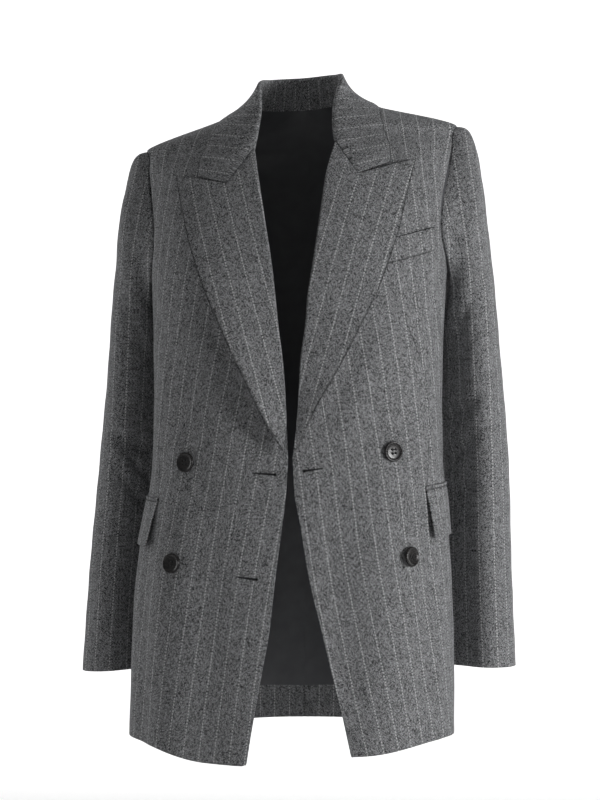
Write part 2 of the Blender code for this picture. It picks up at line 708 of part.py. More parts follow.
def add_collar():
    centres, leaves, seams, seam_normals, arches = [], [], [], [], []
    for side in (1, -1):
        seam, normal = neck_edge(side)
        gorge = gorge_line(seam[0, [0, 2]], COLLAR_TIP)
        front_end = on_front(gorge, side, leaf_lift())
        away = front_end[1] - front_end[0]
        away = unit(away - np.dot(away, normal[0]) * normal[0])
        start = seam[0] + normal[0] * (ROLL - 1) - away * (0.8 + SEAM)
        fold = np.vstack([start, np.stack([COLLAR_FOLD[k] for k in "xyz"], axis=1)])
        full = spline(np.vstack([fold, fold[-2:-3:-1] * (-1, 1, 1)]), collar_stations())
        edge = np.stack([COLLAR_EDGE[k] for k in ("angle", "z", "arch")], axis=1)
        edge = np.vstack([[front_angle(*COLLAR_TIP), COLLAR_TIP[1], 0], edge])
        edge = spline(np.vstack([edge, edge[-2] * (-1, 1, 1) + (360, 0, 0)]), collar_stations())
        free = on_body(edge[:, 0], edge[:, 1], side, LAPEL_LIFT)
        mirror = (side, 1, 1)
        centres.append(full * mirror)
        end_up = outward(front_angle(*gorge.T), gorge[:, 1])
        leaves.append((free * mirror, front_end * mirror, end_up * mirror))
        arches.append(edge[:, 2:])
        seams.append(seam * mirror)
        seam_normals.append(normal * mirror)
    frees = [leaf[0] for leaf in leaves]
    halves = (centres, seams, seam_normals, frees, arches)
    centre, seam, seam_out, free, arch = [np.vstack([left, right[-2::-1]]) for left, right in halves]
    along = unit(np.gradient(centre, axis=0))
    away = free - centre
    away = unit(away - np.sum(away * along, axis=1, keepdims=True) * along)
    up = unit(np.cross(away, along))
    ends = []
    for row, (_, front_end, end_up) in ((0, leaves[0]), (len(centre) - 1, leaves[1])):
        away_rows = np.abs(np.arange(len(centre)) - row) / (END_SHARE * len(centre))
        fade = np.clip(1 - away_rows, 0, 1)[:, None] ** 1.5
        gorge_away = unit(front_end[1] - front_end[0])
        away = unit((1 - fade) * away + fade * gorge_away)
        up = (1 - fade) * up + fade * end_up[0]
        ends.append((row, front_end, end_up, fade))
    up = unit(up - np.sum(up * away, axis=1, keepdims=True) * away)
    turn = roll_turn(centre, away, up)
    share = np.linspace(0, 1, LAPEL_CELLS + 1)[None, :, None]
    bow = 4 * share * (1 - share) * (arch * up)[:, None]
    leaf = (1 - share) * turn[:, -1:] + share * free[:, None] + bow
    for row, front_end, _, fade in ends:
        off = front_end - leaf[row]
        off[0] = 0
        leaf = leaf + fade[:, None] * off[None]
    mid = np.concatenate([turn, leaf[:, 1:]], axis=1)
    normal = grid_normal(mid)
    normal[:, : turn.shape[1]] = turn_normals(away, up)
    for row, _, end_up, _ in ends:
        normal[row, turn.shape[1] :] = end_up[1:]
    add_leaf("collar", inset(mid, ("low", "top")), normal, 1)
    add_stand(turn[:, 0], away, up, seam, seam_out)


def add_stand(fold_end, away, up, seam, seam_out):
    """The collar's stand, from the fold's inner end down to the neck seam of the panels."""
    keep = slice(2, len(seam) - 2)
    onward = into_opening(seam, seam_out, np.array([0, seam[:, 1].mean(), seam[:, 2].max()]))
    top = fold_end + away * SEAM
    share = np.linspace(0, 1, STAND_CELLS + 1)[None, :, None]
    faces = []
    for lift, foot in ((CLOTH / 2, seam), (-CLOTH / 2, seam - seam_out * CLOTH)):
        faces.append((1 - share) * (top + up * lift)[:, None] + share * (foot + onward * SEAM)[:, None])
    finish = material("wool_collar_stand", WOOL_DARK, 0.85)
    add_wall("collar_stand", faces[0][keep], faces[1][keep], 1, finish)


# ---------------------------------------------------------------- pockets and buttons


def add_lying(name, corners, cells, side, lift, thick):
    """A flat piece on a panel from its corners (angle, z): low front and rear, top front and rear."""
    across, rise = cells
    u = np.linspace(0, 1, across + 1)[None, :, None]
    v = np.linspace(0, 1, rise + 1)[:, None, None]
    low_front, low_rear, top_front, top_rear = (np.array(corner, float) for corner in corners)
    domain = (1 - v) * ((1 - u) * low_front + u * low_rear) + v * ((1 - u) * top_front + u * top_rear)
    outer = on_body(domain[..., 0], domain[..., 1], side, lift + thick)
    inner = on_body(domain[..., 0], domain[..., 1], side, lift)
    add_wall(name, outer, inner, side, material("wool_" + name, WOOL, 0.85))


def add_pocket(side):
    name = side_name(side)
    (top_z, low_z), (top_x, low_x) = FLAP_FRONT["z"], FLAP_FRONT["x"]
    top = (front_angle(top_x, top_z), top_z)
    low = (front_angle(low_x, low_z), low_z)
    rear = (FLAP_LENGTH_ANGLE, FLAP_REAR_RISE)
    top_rear, low_rear = np.add(top, rear), np.add(low, rear)
    add_lying("pocket_flap_" + name, (low, low_rear, top, top_rear), (10, 3), side, LYING, POCKET_CLOTH)
    jet = [np.add(corner, (0, rise)) for rise in (SEAM * 2, JET_HEIGHT) for corner in (top, top_rear)]
    add_lying("pocket_jet_" + name, jet, (10, 1), side, LYING, 1.0)


def add_welt():
    corner = {int(WELT["corner"][i]): (WELT["x"][i], WELT["z"][i]) for i in range(4)}
    places = [(front_angle(*corner[k]), corner[k][1]) for k in (4, 3, 1, 2)]
    add_lying("breast_welt", places, (8, 2), 1, LYING, POCKET_CLOTH)


BUTTON_PROFILE = table(
    "radius height",
    [(10.2, 0), (11.5, 0.9), (11.5, 2.6), (10.7, BUTTON_THICK), (9.3, BUTTON_THICK), (8.2, 2.5)],
)
BUTTON_SIDES = 18
HOLE_RADIUS = 0.95
HOLE_PLACE = 2.1


def button_mesh():
    """A turned button with a raised rim and a dished middle."""
    turns = np.linspace(0, 2 * np.pi, BUTTON_SIDES, endpoint=False)
    profile = list(zip(BUTTON_PROFILE["radius"], BUTTON_PROFILE["height"]))
    rings = [[(r * math.cos(t), r * math.sin(t), h) for t in turns] for r, h in profile]
    points = np.array(rings).reshape(-1, 3) * MM
    faces = [tuple(range(BUTTON_SIDES - 1, -1, -1))]
    for ring in range(len(rings) - 1):
        for i in range(BUTTON_SIDES):
            j = (i + 1) % BUTTON_SIDES
            start, above = ring * BUTTON_SIDES, (ring + 1) * BUTTON_SIDES
            faces.append((start + i, start + j, above + j, above + i))
    faces.append(tuple((len(rings) - 1) * BUTTON_SIDES + i for i in range(BUTTON_SIDES)))
    return points, faces


def add_cutter(name, x, y):
    bpy.ops.mesh.primitive_cylinder_add(vertices=6, radius=HOLE_RADIUS * MM, depth=4 * BUTTON_THICK * MM)
    cutter = bpy.context.object
    cutter.name = name
    cutter.location = (x * MM, y * MM, 0)
    cutter.hide_render = True
    cutter.display_type = "WIRE"
    return cutter


def add_buttons():
    for i in range(len(BUTTONS["side"])):
        side = int(BUTTONS["side"][i])
        z = BUTTONS["z"][i]
        angle = front_angle(BUTTONS["x"][i], z)
        seat = hang(on_body(angle, z, side, LYING + 0.2), side)
        across = hang(on_body(angle + 2, z, side), side) - hang(on_body(angle - 2, z, side), side)
        rise = hang(on_body(angle, z + 5, side), side) - hang(on_body(angle, z - 5, side), side)
        facing = Vector(np.cross(across, rise) * side).to_track_quat("Z", "Y")
        name = "button_" + ("upper_" if BUTTONS["row"][i] == 1 else "lower_") + side_name(side)
        points, faces = button_mesh()
        button = add_mesh(name, points, faces, material("horn_" + name, HORN, 0.3))
        button.location = seat
        button.rotation_euler = facing.to_euler()
        for k, (x, y) in enumerate(((1, 1), (-1, 1), (-1, -1), (1, -1))):
            cutter = add_cutter(f"hole_{name}_{k}", x * HOLE_PLACE, y * HOLE_PLACE)
            cutter.parent = button
            cut = button.modifiers.new(f"hole_{k}", "BOOLEAN")
            cut.operation = "DIFFERENCE"
            cut.object = cutter


# ---------------------------------------------------------------- the garment

for SIDE in (1, -1):
    NAME = side_name(SIDE)
    add_panel("front_" + NAME, front_domain(SIDE)[0], SIDE, ("right", "top"), WOOL)
    add_panel("side_" + NAME, side_domain(SIDE), SIDE, ("left", "right"), WOOL_DARK)
    add_panel("back_" + NAME, back_domain(SIDE), SIDE, ("left", "right", "top"), WOOL)
    add_sleeve(SIDE)
    add_lapel(SIDE)
    add_pocket(SIDE)

add_collar()
add_welt()
add_buttons()
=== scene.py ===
import math

import bpy
import numpy as np
from mathutils import Matrix, Vector


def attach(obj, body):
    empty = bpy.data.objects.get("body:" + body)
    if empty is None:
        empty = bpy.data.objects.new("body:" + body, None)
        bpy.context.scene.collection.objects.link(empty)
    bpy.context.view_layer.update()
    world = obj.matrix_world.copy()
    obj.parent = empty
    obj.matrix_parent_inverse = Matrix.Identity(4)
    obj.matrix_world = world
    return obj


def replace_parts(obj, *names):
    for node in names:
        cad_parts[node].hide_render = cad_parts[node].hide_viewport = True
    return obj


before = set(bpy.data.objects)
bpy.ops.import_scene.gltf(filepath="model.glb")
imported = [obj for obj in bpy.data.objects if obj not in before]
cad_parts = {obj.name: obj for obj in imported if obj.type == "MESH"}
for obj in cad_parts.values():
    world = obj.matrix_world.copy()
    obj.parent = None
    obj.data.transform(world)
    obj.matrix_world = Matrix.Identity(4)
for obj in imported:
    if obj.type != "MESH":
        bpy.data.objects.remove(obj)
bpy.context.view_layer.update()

# ---------------------------------------------------------------- the two fronts
# Each front is one cut of worsted wool, canvassed, from the free front edge round to the side seam,
# with a long waist dart. It hangs from the shoulder and stands open. All lengths here are millimetres;
# the garment faces -Y and +X is the wearer's left.

MM = 0.001
CLOTH = 2.0  # wool, canvas and lining together
SEAM = 0.3  # the dark line of a pressed seam
SIDES = {1: "left", -1: "right"}


def table(columns, rows):
    """A table as one array for each named column."""
    return dict(zip(columns.split(), np.array(rows, float).T))


def points_of(rows, names):
    """A table's named columns as points, one for each row."""
    return np.stack([rows[name] for name in names], axis=1)


# The torso's outer face at each height: superellipse sections, front and back halves.
BODY = table(
    "z      width side_y front_y back_y front_n back_n",
    [
        (16, 60, 8, -36, 56, 1.50, 1.75),
        (8, 70, 8, -46, 65, 1.40, 1.65),
        (0, 90, 8, -55, 73, 1.35, 1.55),
        (-34, 184.5, 8, -79, 98, 1.35, 1.55),
        (-60, 184, 6, -99, 112, 1.75, 1.95),
        (-100, 180.5, 2, -122, 124, 2.15, 2.15),
        (-150, 176, -8, -142, 128, 2.35, 2.10),
        (-200, 172.5, -20, -151, 124, 2.40, 2.00),
        (-260, 169.5, -30, -150, 112, 2.40, 1.90),
        (-340, 168, -34, -145, 98, 2.35, 1.85),
        (-410, 169.5, -35, -146, 100, 2.35, 1.85),
        (-470, 176.5, -35, -151, 112, 2.35, 1.85),
        (-560, 185, -35, -157, 128, 2.35, 1.85),
        (-650, 188.5, -35, -161, 136, 2.30, 1.85),
        (-790, 190.5, -35, -165, 138, 2.30, 1.85),
    ],
)
# Long soft folds down the hanging body: a trough, or a ridge where the depth is below 0.
FOLDS = table(
    "side angle_top angle_low z_top z_low half_angle depth",
    [
        (1, 152, 150, -210, -800, 9, 6),
        (-1, 149, 154, -230, -800, 10, 7),
        (1, 125, 128, -330, -800, 8, -4),
        (-1, 127, 125, -300, -800, 8, -4),
        (1, 13, 20, -330, -800, 7, 4),
        (-1, 24, 22, -400, -800, 9, 3.5),
        (1, 38, 34, -330, -800, 10, -4),
        (-1, 46, 42, -320, -800, 10, -4),
        (1, 60, 55, -380, -800, 7, 3),
        (-1, 64, 60, -360, -800, 7, 3),
    ],
)
# Short creases and drag lines, each from one place on the cloth to another.
CREASES = table(
    "side angle_from z_from angle_to z_to half depth",
    [
        (1, 30, -235, 8, -385, 14, 3.5),
        (-1, 31, -225, 8, -385, 18, 6.0),
        (1, 20, -395, 58, -330, 16, 1.6),
        (1, 24, -425, 66, -400, 14, 1.2),
        (-1, 18, -400, 60, -345, 18, 1.8),
        (-1, 22, -430, 70, -415, 14, 1.2),
        (1, 78, -190, 50, -290, 14, 2.0),
        (-1, 78, -195, 48, -300, 15, 2.4),
        (1, 100, -215, 132, -300, 13, 2.2),
        (-1, 100, -215, 135, -290, 14, 2.4),
        (1, 110, -380, 160, -400, 14, 2.0),
        (-1, 112, -360, 165, -385, 14, 2.2),
        (1, 120, -425, 172, -438, 12, 1.4),
        (-1, 118, -410, 170, -430, 12, 1.5),
        (1, 130, -75, 165, -110, 14, 1.4),
        (-1, 128, -80, 163, -120, 14, 1.5),
        (1, 62, -60, 50, -110, 12, 1.2),
        (-1, 64, -62, 50, -115, 12, 1.3),
    ],
)
DEGREE = 2.9  # millimetres round the body, about
PAD_RISE = 2.6  # how far the pad holds up the very end of the shoulder
# The worn garment leans: its centre line sways and the wearer's left hangs higher.
SWAY = table("z x", [(0, 4), (-220, 5), (-400, 3.5), (-550, -1), (-720, -3)])
TILT = table("z slope", [(0, 0.073), (-407, 0.054), (-529, 0.029), (-765, 0.011)])


def smooth(rows, along, name, at):
    """Monotone cubic through one column of a table, read at values of another column."""
    order = np.argsort(rows[along])
    x, y = rows[along][order], rows[name][order]
    step = np.diff(x)
    slope = np.diff(y) / step
    bend = np.concatenate([slope[:1], np.zeros(len(x) - 2), slope[-1:]])
    for i in range(1, len(x) - 1):
        if slope[i - 1] * slope[i] > 0:
            bend[i] = 2 * slope[i - 1] * slope[i] / (slope[i - 1] + slope[i])
    at = np.clip(np.asarray(at, float), x[0], x[-1])
    i = np.clip(np.searchsorted(x, at) - 1, 0, len(x) - 2)
    t = (at - x[i]) / step[i]
    start = (2 * t**3 - 3 * t**2 + 1) * y[i] + (t**3 - 2 * t**2 + t) * step[i] * bend[i]
    end = (3 * t**2 - 2 * t**3) * y[i + 1] + (t**3 - t**2) * step[i] * bend[i + 1]
    return start + end


def spline(points, at, closed=False):
    """Catmull-Rom through the points, read at station numbers from 0 up."""
    points = np.asarray(points, float)
    if closed:
        ends = np.vstack([points[-1:], points, points[:2]])
    else:
        ends = np.vstack([2 * points[0] - points[1], points, 2 * points[-1] - points[-2]])
    i = np.clip(np.asarray(at, float).astype(int), 0, len(ends) - 4)
    t = (at - i)[:, None]
    a, b, c, d = ends[i], ends[i + 1], ends[i + 2], ends[i + 3]
    bend = (2 * a - 5 * b + 4 * c - d) * t**2 + (3 * b - a - 3 * c + d) * t**3
    return 0.5 * (2 * b + (c - a) * t + bend)


def lengths_along(points, axis=0):
    """Length from the start of a line, or from the first row or column of a grid, to every point."""
    steps = np.linalg.norm(np.diff(points, axis=axis), axis=-1)
    first = np.zeros_like(np.take(steps, [0], axis))
    return np.concatenate([first, np.cumsum(steps, axis=axis)], axis=axis)


def evenly(points, count, shape=None):
    """Resample a polyline to count points at equal lengths, measured on shape if given."""
    length = lengths_along(points if shape is None else shape)
    wanted = np.linspace(0, length[-1], count)
    return np.stack([np.interp(wanted, length, column) for column in points.T], axis=1)


def through(points, count, closed=False):
    """An even run of points on a smooth curve through the given ones."""
    stations = len(points) if closed else len(points) - 1
    return evenly(spline(points, np.linspace(0, stations, 12 * stations + 1), closed), count)


def unit(vectors):
    return vectors / np.maximum(np.linalg.norm(vectors, axis=-1, keepdims=True), 1e-9)


def plain_body(angle, z):
    """The torso without folds: angle 0 is the centre front, 90 the side, 180 the centre back."""
    turn = np.radians(angle)
    width, side_y = smooth(BODY, "z", "width", z), smooth(BODY, "z", "side_y", z)
    front_n, back_n = smooth(BODY, "z", "front_n", z), smooth(BODY, "z", "back_n", z)
    front_y, back_y = smooth(BODY, "z", "front_y", z), smooth(BODY, "z", "back_y", z)
    sine, cosine = np.sin(turn), np.cos(turn)
    power = np.where(cosine > 0, 2 / front_n, 2 / back_n)
    depth = np.where(cosine > 0, front_y - side_y, back_y - side_y)
    x = width * np.sign(sine) * np.abs(sine) ** power
    y = side_y + depth * np.abs(cosine) ** power
    return np.stack(np.broadcast_arrays(x, y, z), axis=-1).astype(float)


def outward(angle, z):
    across = plain_body(angle + 0.5, z) - plain_body(angle - 0.5, z)
    up = plain_body(angle, z + 1.0) - plain_body(angle, z - 1.0)
    return unit(np.cross(across, up))


def rows_of(rows, side):
    """The rows of a table that belong to one side, each as a dict of its columns."""
    for i in np.flatnonzero(rows["side"] == side):
        yield {name: column[i] for name, column in rows.items()}


def near_line(x, y, ax, ay, bx, by, half):
    """1 along a line from a to b, falling off softly over half a width and at its two ends."""
    length = math.hypot(bx - ax, by - ay)
    ux, uy = (bx - ax) / length, (by - ay) / length
    along = ((x - ax) * ux + (y - ay) * uy) / length
    off = ((x - ax) * uy - (y - ay) * ux) / half
    fade = np.clip(np.minimum(along, 1 - along) * 2.5 + 0.25, 0, 1)
    return fade * fade * (3 - 2 * fade) * np.exp(-(off**2))


def pressed_in(angle, z, side):
    """How far folds, creases and the cloth's own unevenness press the body's face in."""
    angle, z = np.broadcast_arrays(np.asarray(angle, float), np.asarray(z, float))
    depth = 0.35 * np.sin(angle * 0.21 + z * 0.031 + side) * np.sin(z * 0.057 - angle * 0.05)
    for fold in rows_of(FOLDS, side):
        down = np.clip((fold["z_top"] - z) / (fold["z_top"] - fold["z_low"]), 0, 1)
        centre = fold["angle_top"] + down * (fold["angle_low"] - fold["angle_top"])
        fade = np.sin(np.minimum(2 * down, 1) * np.pi / 2) ** 2
        depth = depth + fold["depth"] * fade * np.exp(-(((angle - centre) / fold["half_angle"]) ** 2))
    for line in rows_of(CREASES, side):
        start, end = DEGREE * line["angle_from"], DEGREE * line["angle_to"]
        ends = (start, line["z_from"], end, line["z_to"])
        depth = depth + line["depth"] * near_line(DEGREE * angle, z, *ends, line["half"])
    return depth


def on_body(angle, z, side, lift=0.0):
    """A point of the cloth's outer face on the body, or one lifted off it."""
    angle, z = np.broadcast_arrays(np.asarray(angle, float), np.asarray(z, float))
    rise = lift - pressed_in(angle, z, side)
    pad = PAD_RISE * np.exp(-(((angle - 90) / 16) ** 2) - ((z + 35) / 8) ** 2)
    return plain_body(angle, z) + outward(angle, z) * rise[..., None] + pad[..., None] * (0, 0, 1)


def front_angle(x, z):
    """The angle at which the front of the body passes a distance x from the centre line."""
    ratio = np.clip(np.asarray(x, float) / smooth(BODY, "z", "width", z), 0, 1)
    return np.degrees(np.arcsin(ratio ** (smooth(BODY, "z", "front_n", z) / 2)))


def depth_angle(y, z):
    """The angle at which the side of the body passes a depth y."""
    side_y = smooth(BODY, "z", "side_y", z)
    if y < side_y:
        ratio = (side_y - y) / (side_y - smooth(BODY, "z", "front_y", z))
        return np.degrees(np.arccos(ratio ** (smooth(BODY, "z", "front_n", z) / 2)))
    ratio = (y - side_y) / (smooth(BODY, "z", "back_y", z) - side_y)
    return 180 - np.degrees(np.arccos(ratio ** (smooth(BODY, "z", "back_n", z) / 2)))


def coons(left, right, low, top):
    """A grid between four edges: rows run up, columns run from left to right."""
    v = np.linspace(0, 1, len(left))[:, None, None]
    u = np.linspace(0, 1, len(low))[None, :, None]
    ruled = (1 - u) * left[:, None] + u * right[:, None] + (1 - v) * low[None] + v * top[None]
    corners = (1 - v) * ((1 - u) * left[0] + u * right[0]) + v * ((1 - u) * left[-1] + u * right[-1])
    return ruled - corners


def panel_grid(left, right, low, top, centre):
    """A panel's grid of (angle, z) between its edges, spread evenly round from a centre."""
    edges = []
    for edge in (left, right, low, top):
        across = (edge[:, 0] - centre) / 90 * smooth(BODY, "z", "width", edge[:, 1])
        edges.append(np.stack([across, edge[:, 1]], axis=1))
    grid = coons(*edges)
    angle = centre + 90 * grid[..., 0] / smooth(BODY, "z", "width", grid[..., 1])
    return np.stack([angle, grid[..., 1]], axis=-1)


def hang(points, side):
    """Put a point of the square garment where the worn one hangs, and mirror the right side."""
    x, y, z = points[..., 0] * side, points[..., 1], points[..., 2]
    x_worn = x + smooth(SWAY, "z", "x", z)
    return np.stack([x_worn, y, z + smooth(TILT, "z", "slope", z) * x], axis=-1) * MM


# The cut lies flat like this: lengths measured round the body and up it, on a coarse survey.
LOWEST, HIGHEST = -800, 16
STEPS_ROUND, STEPS_UP = 120, 136
SURVEY_Z = np.linspace(LOWEST, HIGHEST, STEPS_UP + 1)
SURVEY = plain_body(np.linspace(0, 180, STEPS_ROUND + 1)[:, None], SURVEY_Z[None])
ROUND, UP = lengths_along(SURVEY, 0), lengths_along(SURVEY, 1)


def measured(lengths, angle, z):
    """Read a surveyed length at places on the body."""
    i = np.clip(np.asarray(angle, float) / 180 * STEPS_ROUND, 0, STEPS_ROUND - 0.001)
    k = np.clip((np.asarray(z, float) - LOWEST) / (HIGHEST - LOWEST) * STEPS_UP, 0, STEPS_UP - 0.001)
    a, b = i.astype(int), k.astype(int)
    s, t = i - a, k - b
    low = (1 - s) * lengths[a, b] + s * lengths[a + 1, b]
    return (1 - t) * low + t * ((1 - s) * lengths[a, b + 1] + s * lengths[a + 1, b + 1])


# How far the front's stripes lean outward on their way down, in degrees, at each height.
LEAN = table(
    "z left right",
    [(0, 13, 16), (-100, 12, 13), (-200, 10, 11), (-420, 9.2, 8.5), (-600, 12.5, 7.5), (-800, 13, 6.5)],
)
FIRST_STRIPE = {1: 5.0, -1: 6.0}  # from the front edge to the first stripe, below the break


def over_shoulder(across, angle, z):
    """Near the shoulder the stripes are placed by the way out from the centre, not by the way round."""
    top = np.clip((z + 75) / 40, 0, 1)
    return (1 - top) * across + top * 1.04 * plain_body(angle, z)[..., 0]


def front_cut(angle, z, side):
    """Where a place on a front lies in the flat cut: across the stripes and along them."""
    heights = np.linspace(LOWEST, 20, 83)
    lean = np.tan(np.radians(smooth(LEAN, "z", SIDES[side], heights)))
    drift = np.cumsum(lean) * (heights[1] - heights[0])
    across = over_shoulder(measured(ROUND, angle, z), angle, z) + np.interp(z, heights, drift)
    below = -560  # the first stripe is set from the front edge here
    edge = smooth(FRONT_EDGE, "z", SIDES[side], below) + np.interp(below, heights, drift)
    return np.stack([across - edge - FIRST_STRIPE[side], measured(UP, angle, z)], axis=-1)


def srgb(code):
    """A colour given as an sRGB hex code, in linear light."""
    parts = [int(code[i : i + 2], 16) / 255 for i in (1, 3, 5)]
    return (*[p / 12.92 if p <= 0.04045 else ((p + 0.055) / 1.055) ** 2.4 for p in parts], 1.0)


def add_node(nodes, kind, inputs=(), out=0, **settings):
    """Add a shader node with its settings and links, and give one of its outputs.

    An input is a value or another node's output.
    """
    made = nodes.new("ShaderNode" + kind)
    for name, value in settings.items():
        setattr(made, name, value)
    for socket, value in dict(inputs).items():
        if isinstance(value, bpy.types.NodeSocket):
            nodes.id_data.links.new(value, made.inputs[socket])
        else:
            made.inputs[socket].default_value = value
    return made.outputs[out]


def new_material(name):
    """An empty material, its nodes and its shader."""
    made = bpy.data.materials.new(name)
    made.use_nodes = True
    return made, made.node_tree.nodes, made.node_tree.nodes["Principled BSDF"]


# Worsted suiting, woven as a herringbone from mixed dark and light grey yarn with a broken white pin
# stripe: matt, hairy enough to catch a faint sheen at the edges, and speckled close to.
CHEVRON = 9.3  # width of one herringbone column
YARN = 0.65  # a fleck of mixed yarn; the real ones are 0.4 mm and are drawn coarser so that they show
RIB_PITCH = 2.2  # the real rib is 1 mm, drawn coarser too
RIB_SLANT = 1.1  # how steeply the ribs run
HAIRS = 1.35  # loose hairs of pale and dark fibre in a millimetre
CLOUD = 20  # slow changes of shade along the bolt
DASH = 3.5  # from one white dot of the pin stripe to the next
WEAR = 0.06  # places in a millimetre where the white yarn comes and goes


def wool_suiting(name):
    made, nodes, shader = new_material(name)
    cut = add_node(nodes, "UVMap", uv_map="cut")
    lying = add_node(nodes, "VectorMath", {0: cut, "Scale": 1 / MM}, operation="SCALE")
    across = add_node(nodes, "SeparateXYZ", {0: lying})
    along = across.node.outputs[1]
    fold = add_node(nodes, "Math", {0: across, 1: CHEVRON}, operation="PINGPONG")
    slant = add_node(nodes, "Math", {0: fold, 1: RIB_SLANT, 2: along}, operation="MULTIPLY_ADD")
    # The yarn flecks follow the ribs, so they turn round with each column of the herringbone.
    wide = add_node(nodes, "Math", {0: across, 1: 0.62 / YARN}, operation="MULTIPLY")
    high = add_node(nodes, "Math", {0: slant, 1: 1 / YARN}, operation="MULTIPLY")
    ribbed = add_node(nodes, "CombineXYZ", {0: wide, 1: high})
    fleck = add_node(nodes, "TexVoronoi", {"Vector": ribbed, "Scale": 1.0}, out="Color")
    fleck = add_node(nodes, "SeparateColor", {0: fleck})
    hair = add_node(nodes, "TexVoronoi", {"Vector": lying, "Scale": HAIRS}, out="Color")
    hair = add_node(nodes, "SeparateColor", {0: hair}, out=1)
    cloud = add_node(nodes, "TexNoise", {"Vector": lying, "Scale": 1 / CLOUD, "Detail": 3.0})
    rib = add_node(nodes, "Math", {0: slant, 1: 2 * math.pi / RIB_PITCH}, operation="MULTIPLY")
    rib = add_node(nodes, "Math", {0: rib}, operation="SINE")
    yarn = add_node(nodes, "Math", {0: fleck, 1: 0.8, 2: -0.61}, operation="MULTIPLY_ADD")
    yarn = add_node(nodes, "Math", {0: hair, 1: 1.1, 2: yarn}, operation="MULTIPLY_ADD")
    yarn = add_node(nodes, "Math", {0: rib, 1: 0.22, 2: yarn}, operation="MULTIPLY_ADD")
    yarn = add_node(nodes, "Math", {0: cloud, 1: 0.24, 2: yarn}, operation="MULTIPLY_ADD", use_clamp=True)
    greys = {0: yarn, 6: srgb("#0c0d0e"), 7: srgb("#acadaf")}
    base = add_node(nodes, "Mix", greys, out=2, data_type="RGBA")
    # One turn of the herringbone in two carries the pin stripe, a row of white dots that comes and goes.
    stripe = add_node(nodes, "MapRange", {0: fold, 1: 0.35, 2: 0.8, 3: 1.0, 4: 0.0})
    dot = add_node(nodes, "Math", {0: along, 1: 2 * math.pi / DASH}, operation="MULTIPLY")
    dot = add_node(nodes, "Math", {0: dot}, operation="SINE")
    dot = add_node(nodes, "Math", {0: dot, 1: 0.85, 2: -0.62}, operation="MULTIPLY_ADD")
    wear = {"Vector": lying, "Scale": WEAR, "Detail": 4.0, "Roughness": 0.7}
    wear = add_node(nodes, "TexNoise", wear)
    dot = add_node(nodes, "Math", {0: wear, 1: 1.9, 2: dot}, operation="MULTIPLY_ADD", use_clamp=True)
    white = add_node(nodes, "Math", {0: stripe, 1: dot}, operation="MULTIPLY", use_clamp=True)
    striped = {0: white, 6: base, 7: srgb("#d2d3d3")}
    colour = add_node(nodes, "Mix", striped, out=2, data_type="RGBA")
    # Painted shade: the colour is darkened close to seams, darts and raised free edges, where the cloth
    # dips into a seam or stands over the panel, in place of the shade that falls there. The same line
    # also deepens the bump.
    seam = add_node(nodes, "Attribute", out="Fac", attribute_name="seam")
    dart = add_node(nodes, "Attribute", out="Fac", attribute_name="dart")
    dart = add_node(nodes, "Math", {0: dart}, operation="ABSOLUTE")
    line = add_node(nodes, "Math", {0: seam, 1: dart}, operation="MINIMUM")
    line = add_node(nodes, "MapRange", {0: line, 1: 0.2, 2: 1.0, 3: 0.33, 4: 1.0})
    colour = add_node(nodes, "VectorMath", {0: colour, "Scale": line}, operation="SCALE")
    height = add_node(nodes, "Math", {0: yarn, 1: 0.5, 2: line}, operation="MULTIPLY_ADD")
    bump = add_node(nodes, "Bump", {"Height": height, "Strength": 0.4, "Distance": 0.4 * MM})
    nodes.id_data.links.new(colour, shader.inputs["Base Color"])
    nodes.id_data.links.new(bump, shader.inputs["Normal"])
    shader.inputs["Roughness"].default_value = 0.9
    shader.inputs["Specular IOR Level"].default_value = 0.2
    shader.inputs["Sheen Weight"].default_value = 0.12
    shader.inputs["Sheen Roughness"].default_value = 0.5
    shader.inputs["Sheen Tint"].default_value = srgb("#c9cace")
    return made


# Cupro lining on the hidden faces: fine, dark and smooth, with a soft satin shine. Its threads are
# far too fine to show, so they are drawn as ribs of 1.3 mm.
THREADS = 0.25  # the scale of the wave, which puts a rib at each 1.3 mm
SLUB = 0.06  # thicker places in the thread, in a millimetre


def cupro_lining(name):
    made, nodes, shader = new_material(name)
    cut = add_node(nodes, "UVMap", uv_map="cut")
    lying = add_node(nodes, "VectorMath", {0: cut, "Scale": 1 / MM}, operation="SCALE")
    threads = {"Vector": lying, "Scale": THREADS, "Distortion": 1.5, "Detail": 2.0}
    thread = add_node(nodes, "TexWave", threads, out=1)
    slub = add_node(nodes, "TexNoise", {"Vector": lying, "Scale": SLUB, "Detail": 4.0})
    greys = {0: slub, 6: srgb("#4b4c4f"), 7: srgb("#606164")}
    colour = add_node(nodes, "Mix", greys, out=2, data_type="RGBA")
    bump = add_node(nodes, "Bump", {"Height": thread, "Strength": 0.12, "Distance": 0.1 * MM})
    nodes.id_data.links.new(colour, shader.inputs["Base Color"])
    nodes.id_data.links.new(bump, shader.inputs["Normal"])
    shader.inputs["Roughness"].default_value = 0.42
    shader.inputs["Sheen Weight"].default_value = 0.1
    return made


WOOL = wool_suiting("worsted wool suiting")
LINING = cupro_lining("cupro lining")


def finer_at(grid, edges, share=0.35):
    """Add a row or column close to each named edge, where the cloth turns into a seam."""
    for name, axis in (("low", 0), ("top", 0), ("left", 1), ("right", 1)):
        if name in edges:
            last = grid.shape[axis] - 1
            at = share if name in ("low", "left") else last - share
            steps = np.sort(np.append(np.arange(last + 1), at))
            k = np.minimum(steps.astype(int), last - 1)
            t = (steps - k).reshape((-1, 1, 1) if axis == 0 else (1, -1, 1))
            grid = (1 - t) * np.take(grid, k, axis) + t * np.take(grid, k + 1, axis)
    return grid


def edge_distance(grid, name):
    """Length over the cloth from a named edge to every point of a grid."""
    axis = 0 if name in ("low", "top") else 1
    length = lengths_along(grid, axis)
    return length if name in ("low", "left") else np.take(length, [-1], axis) - length


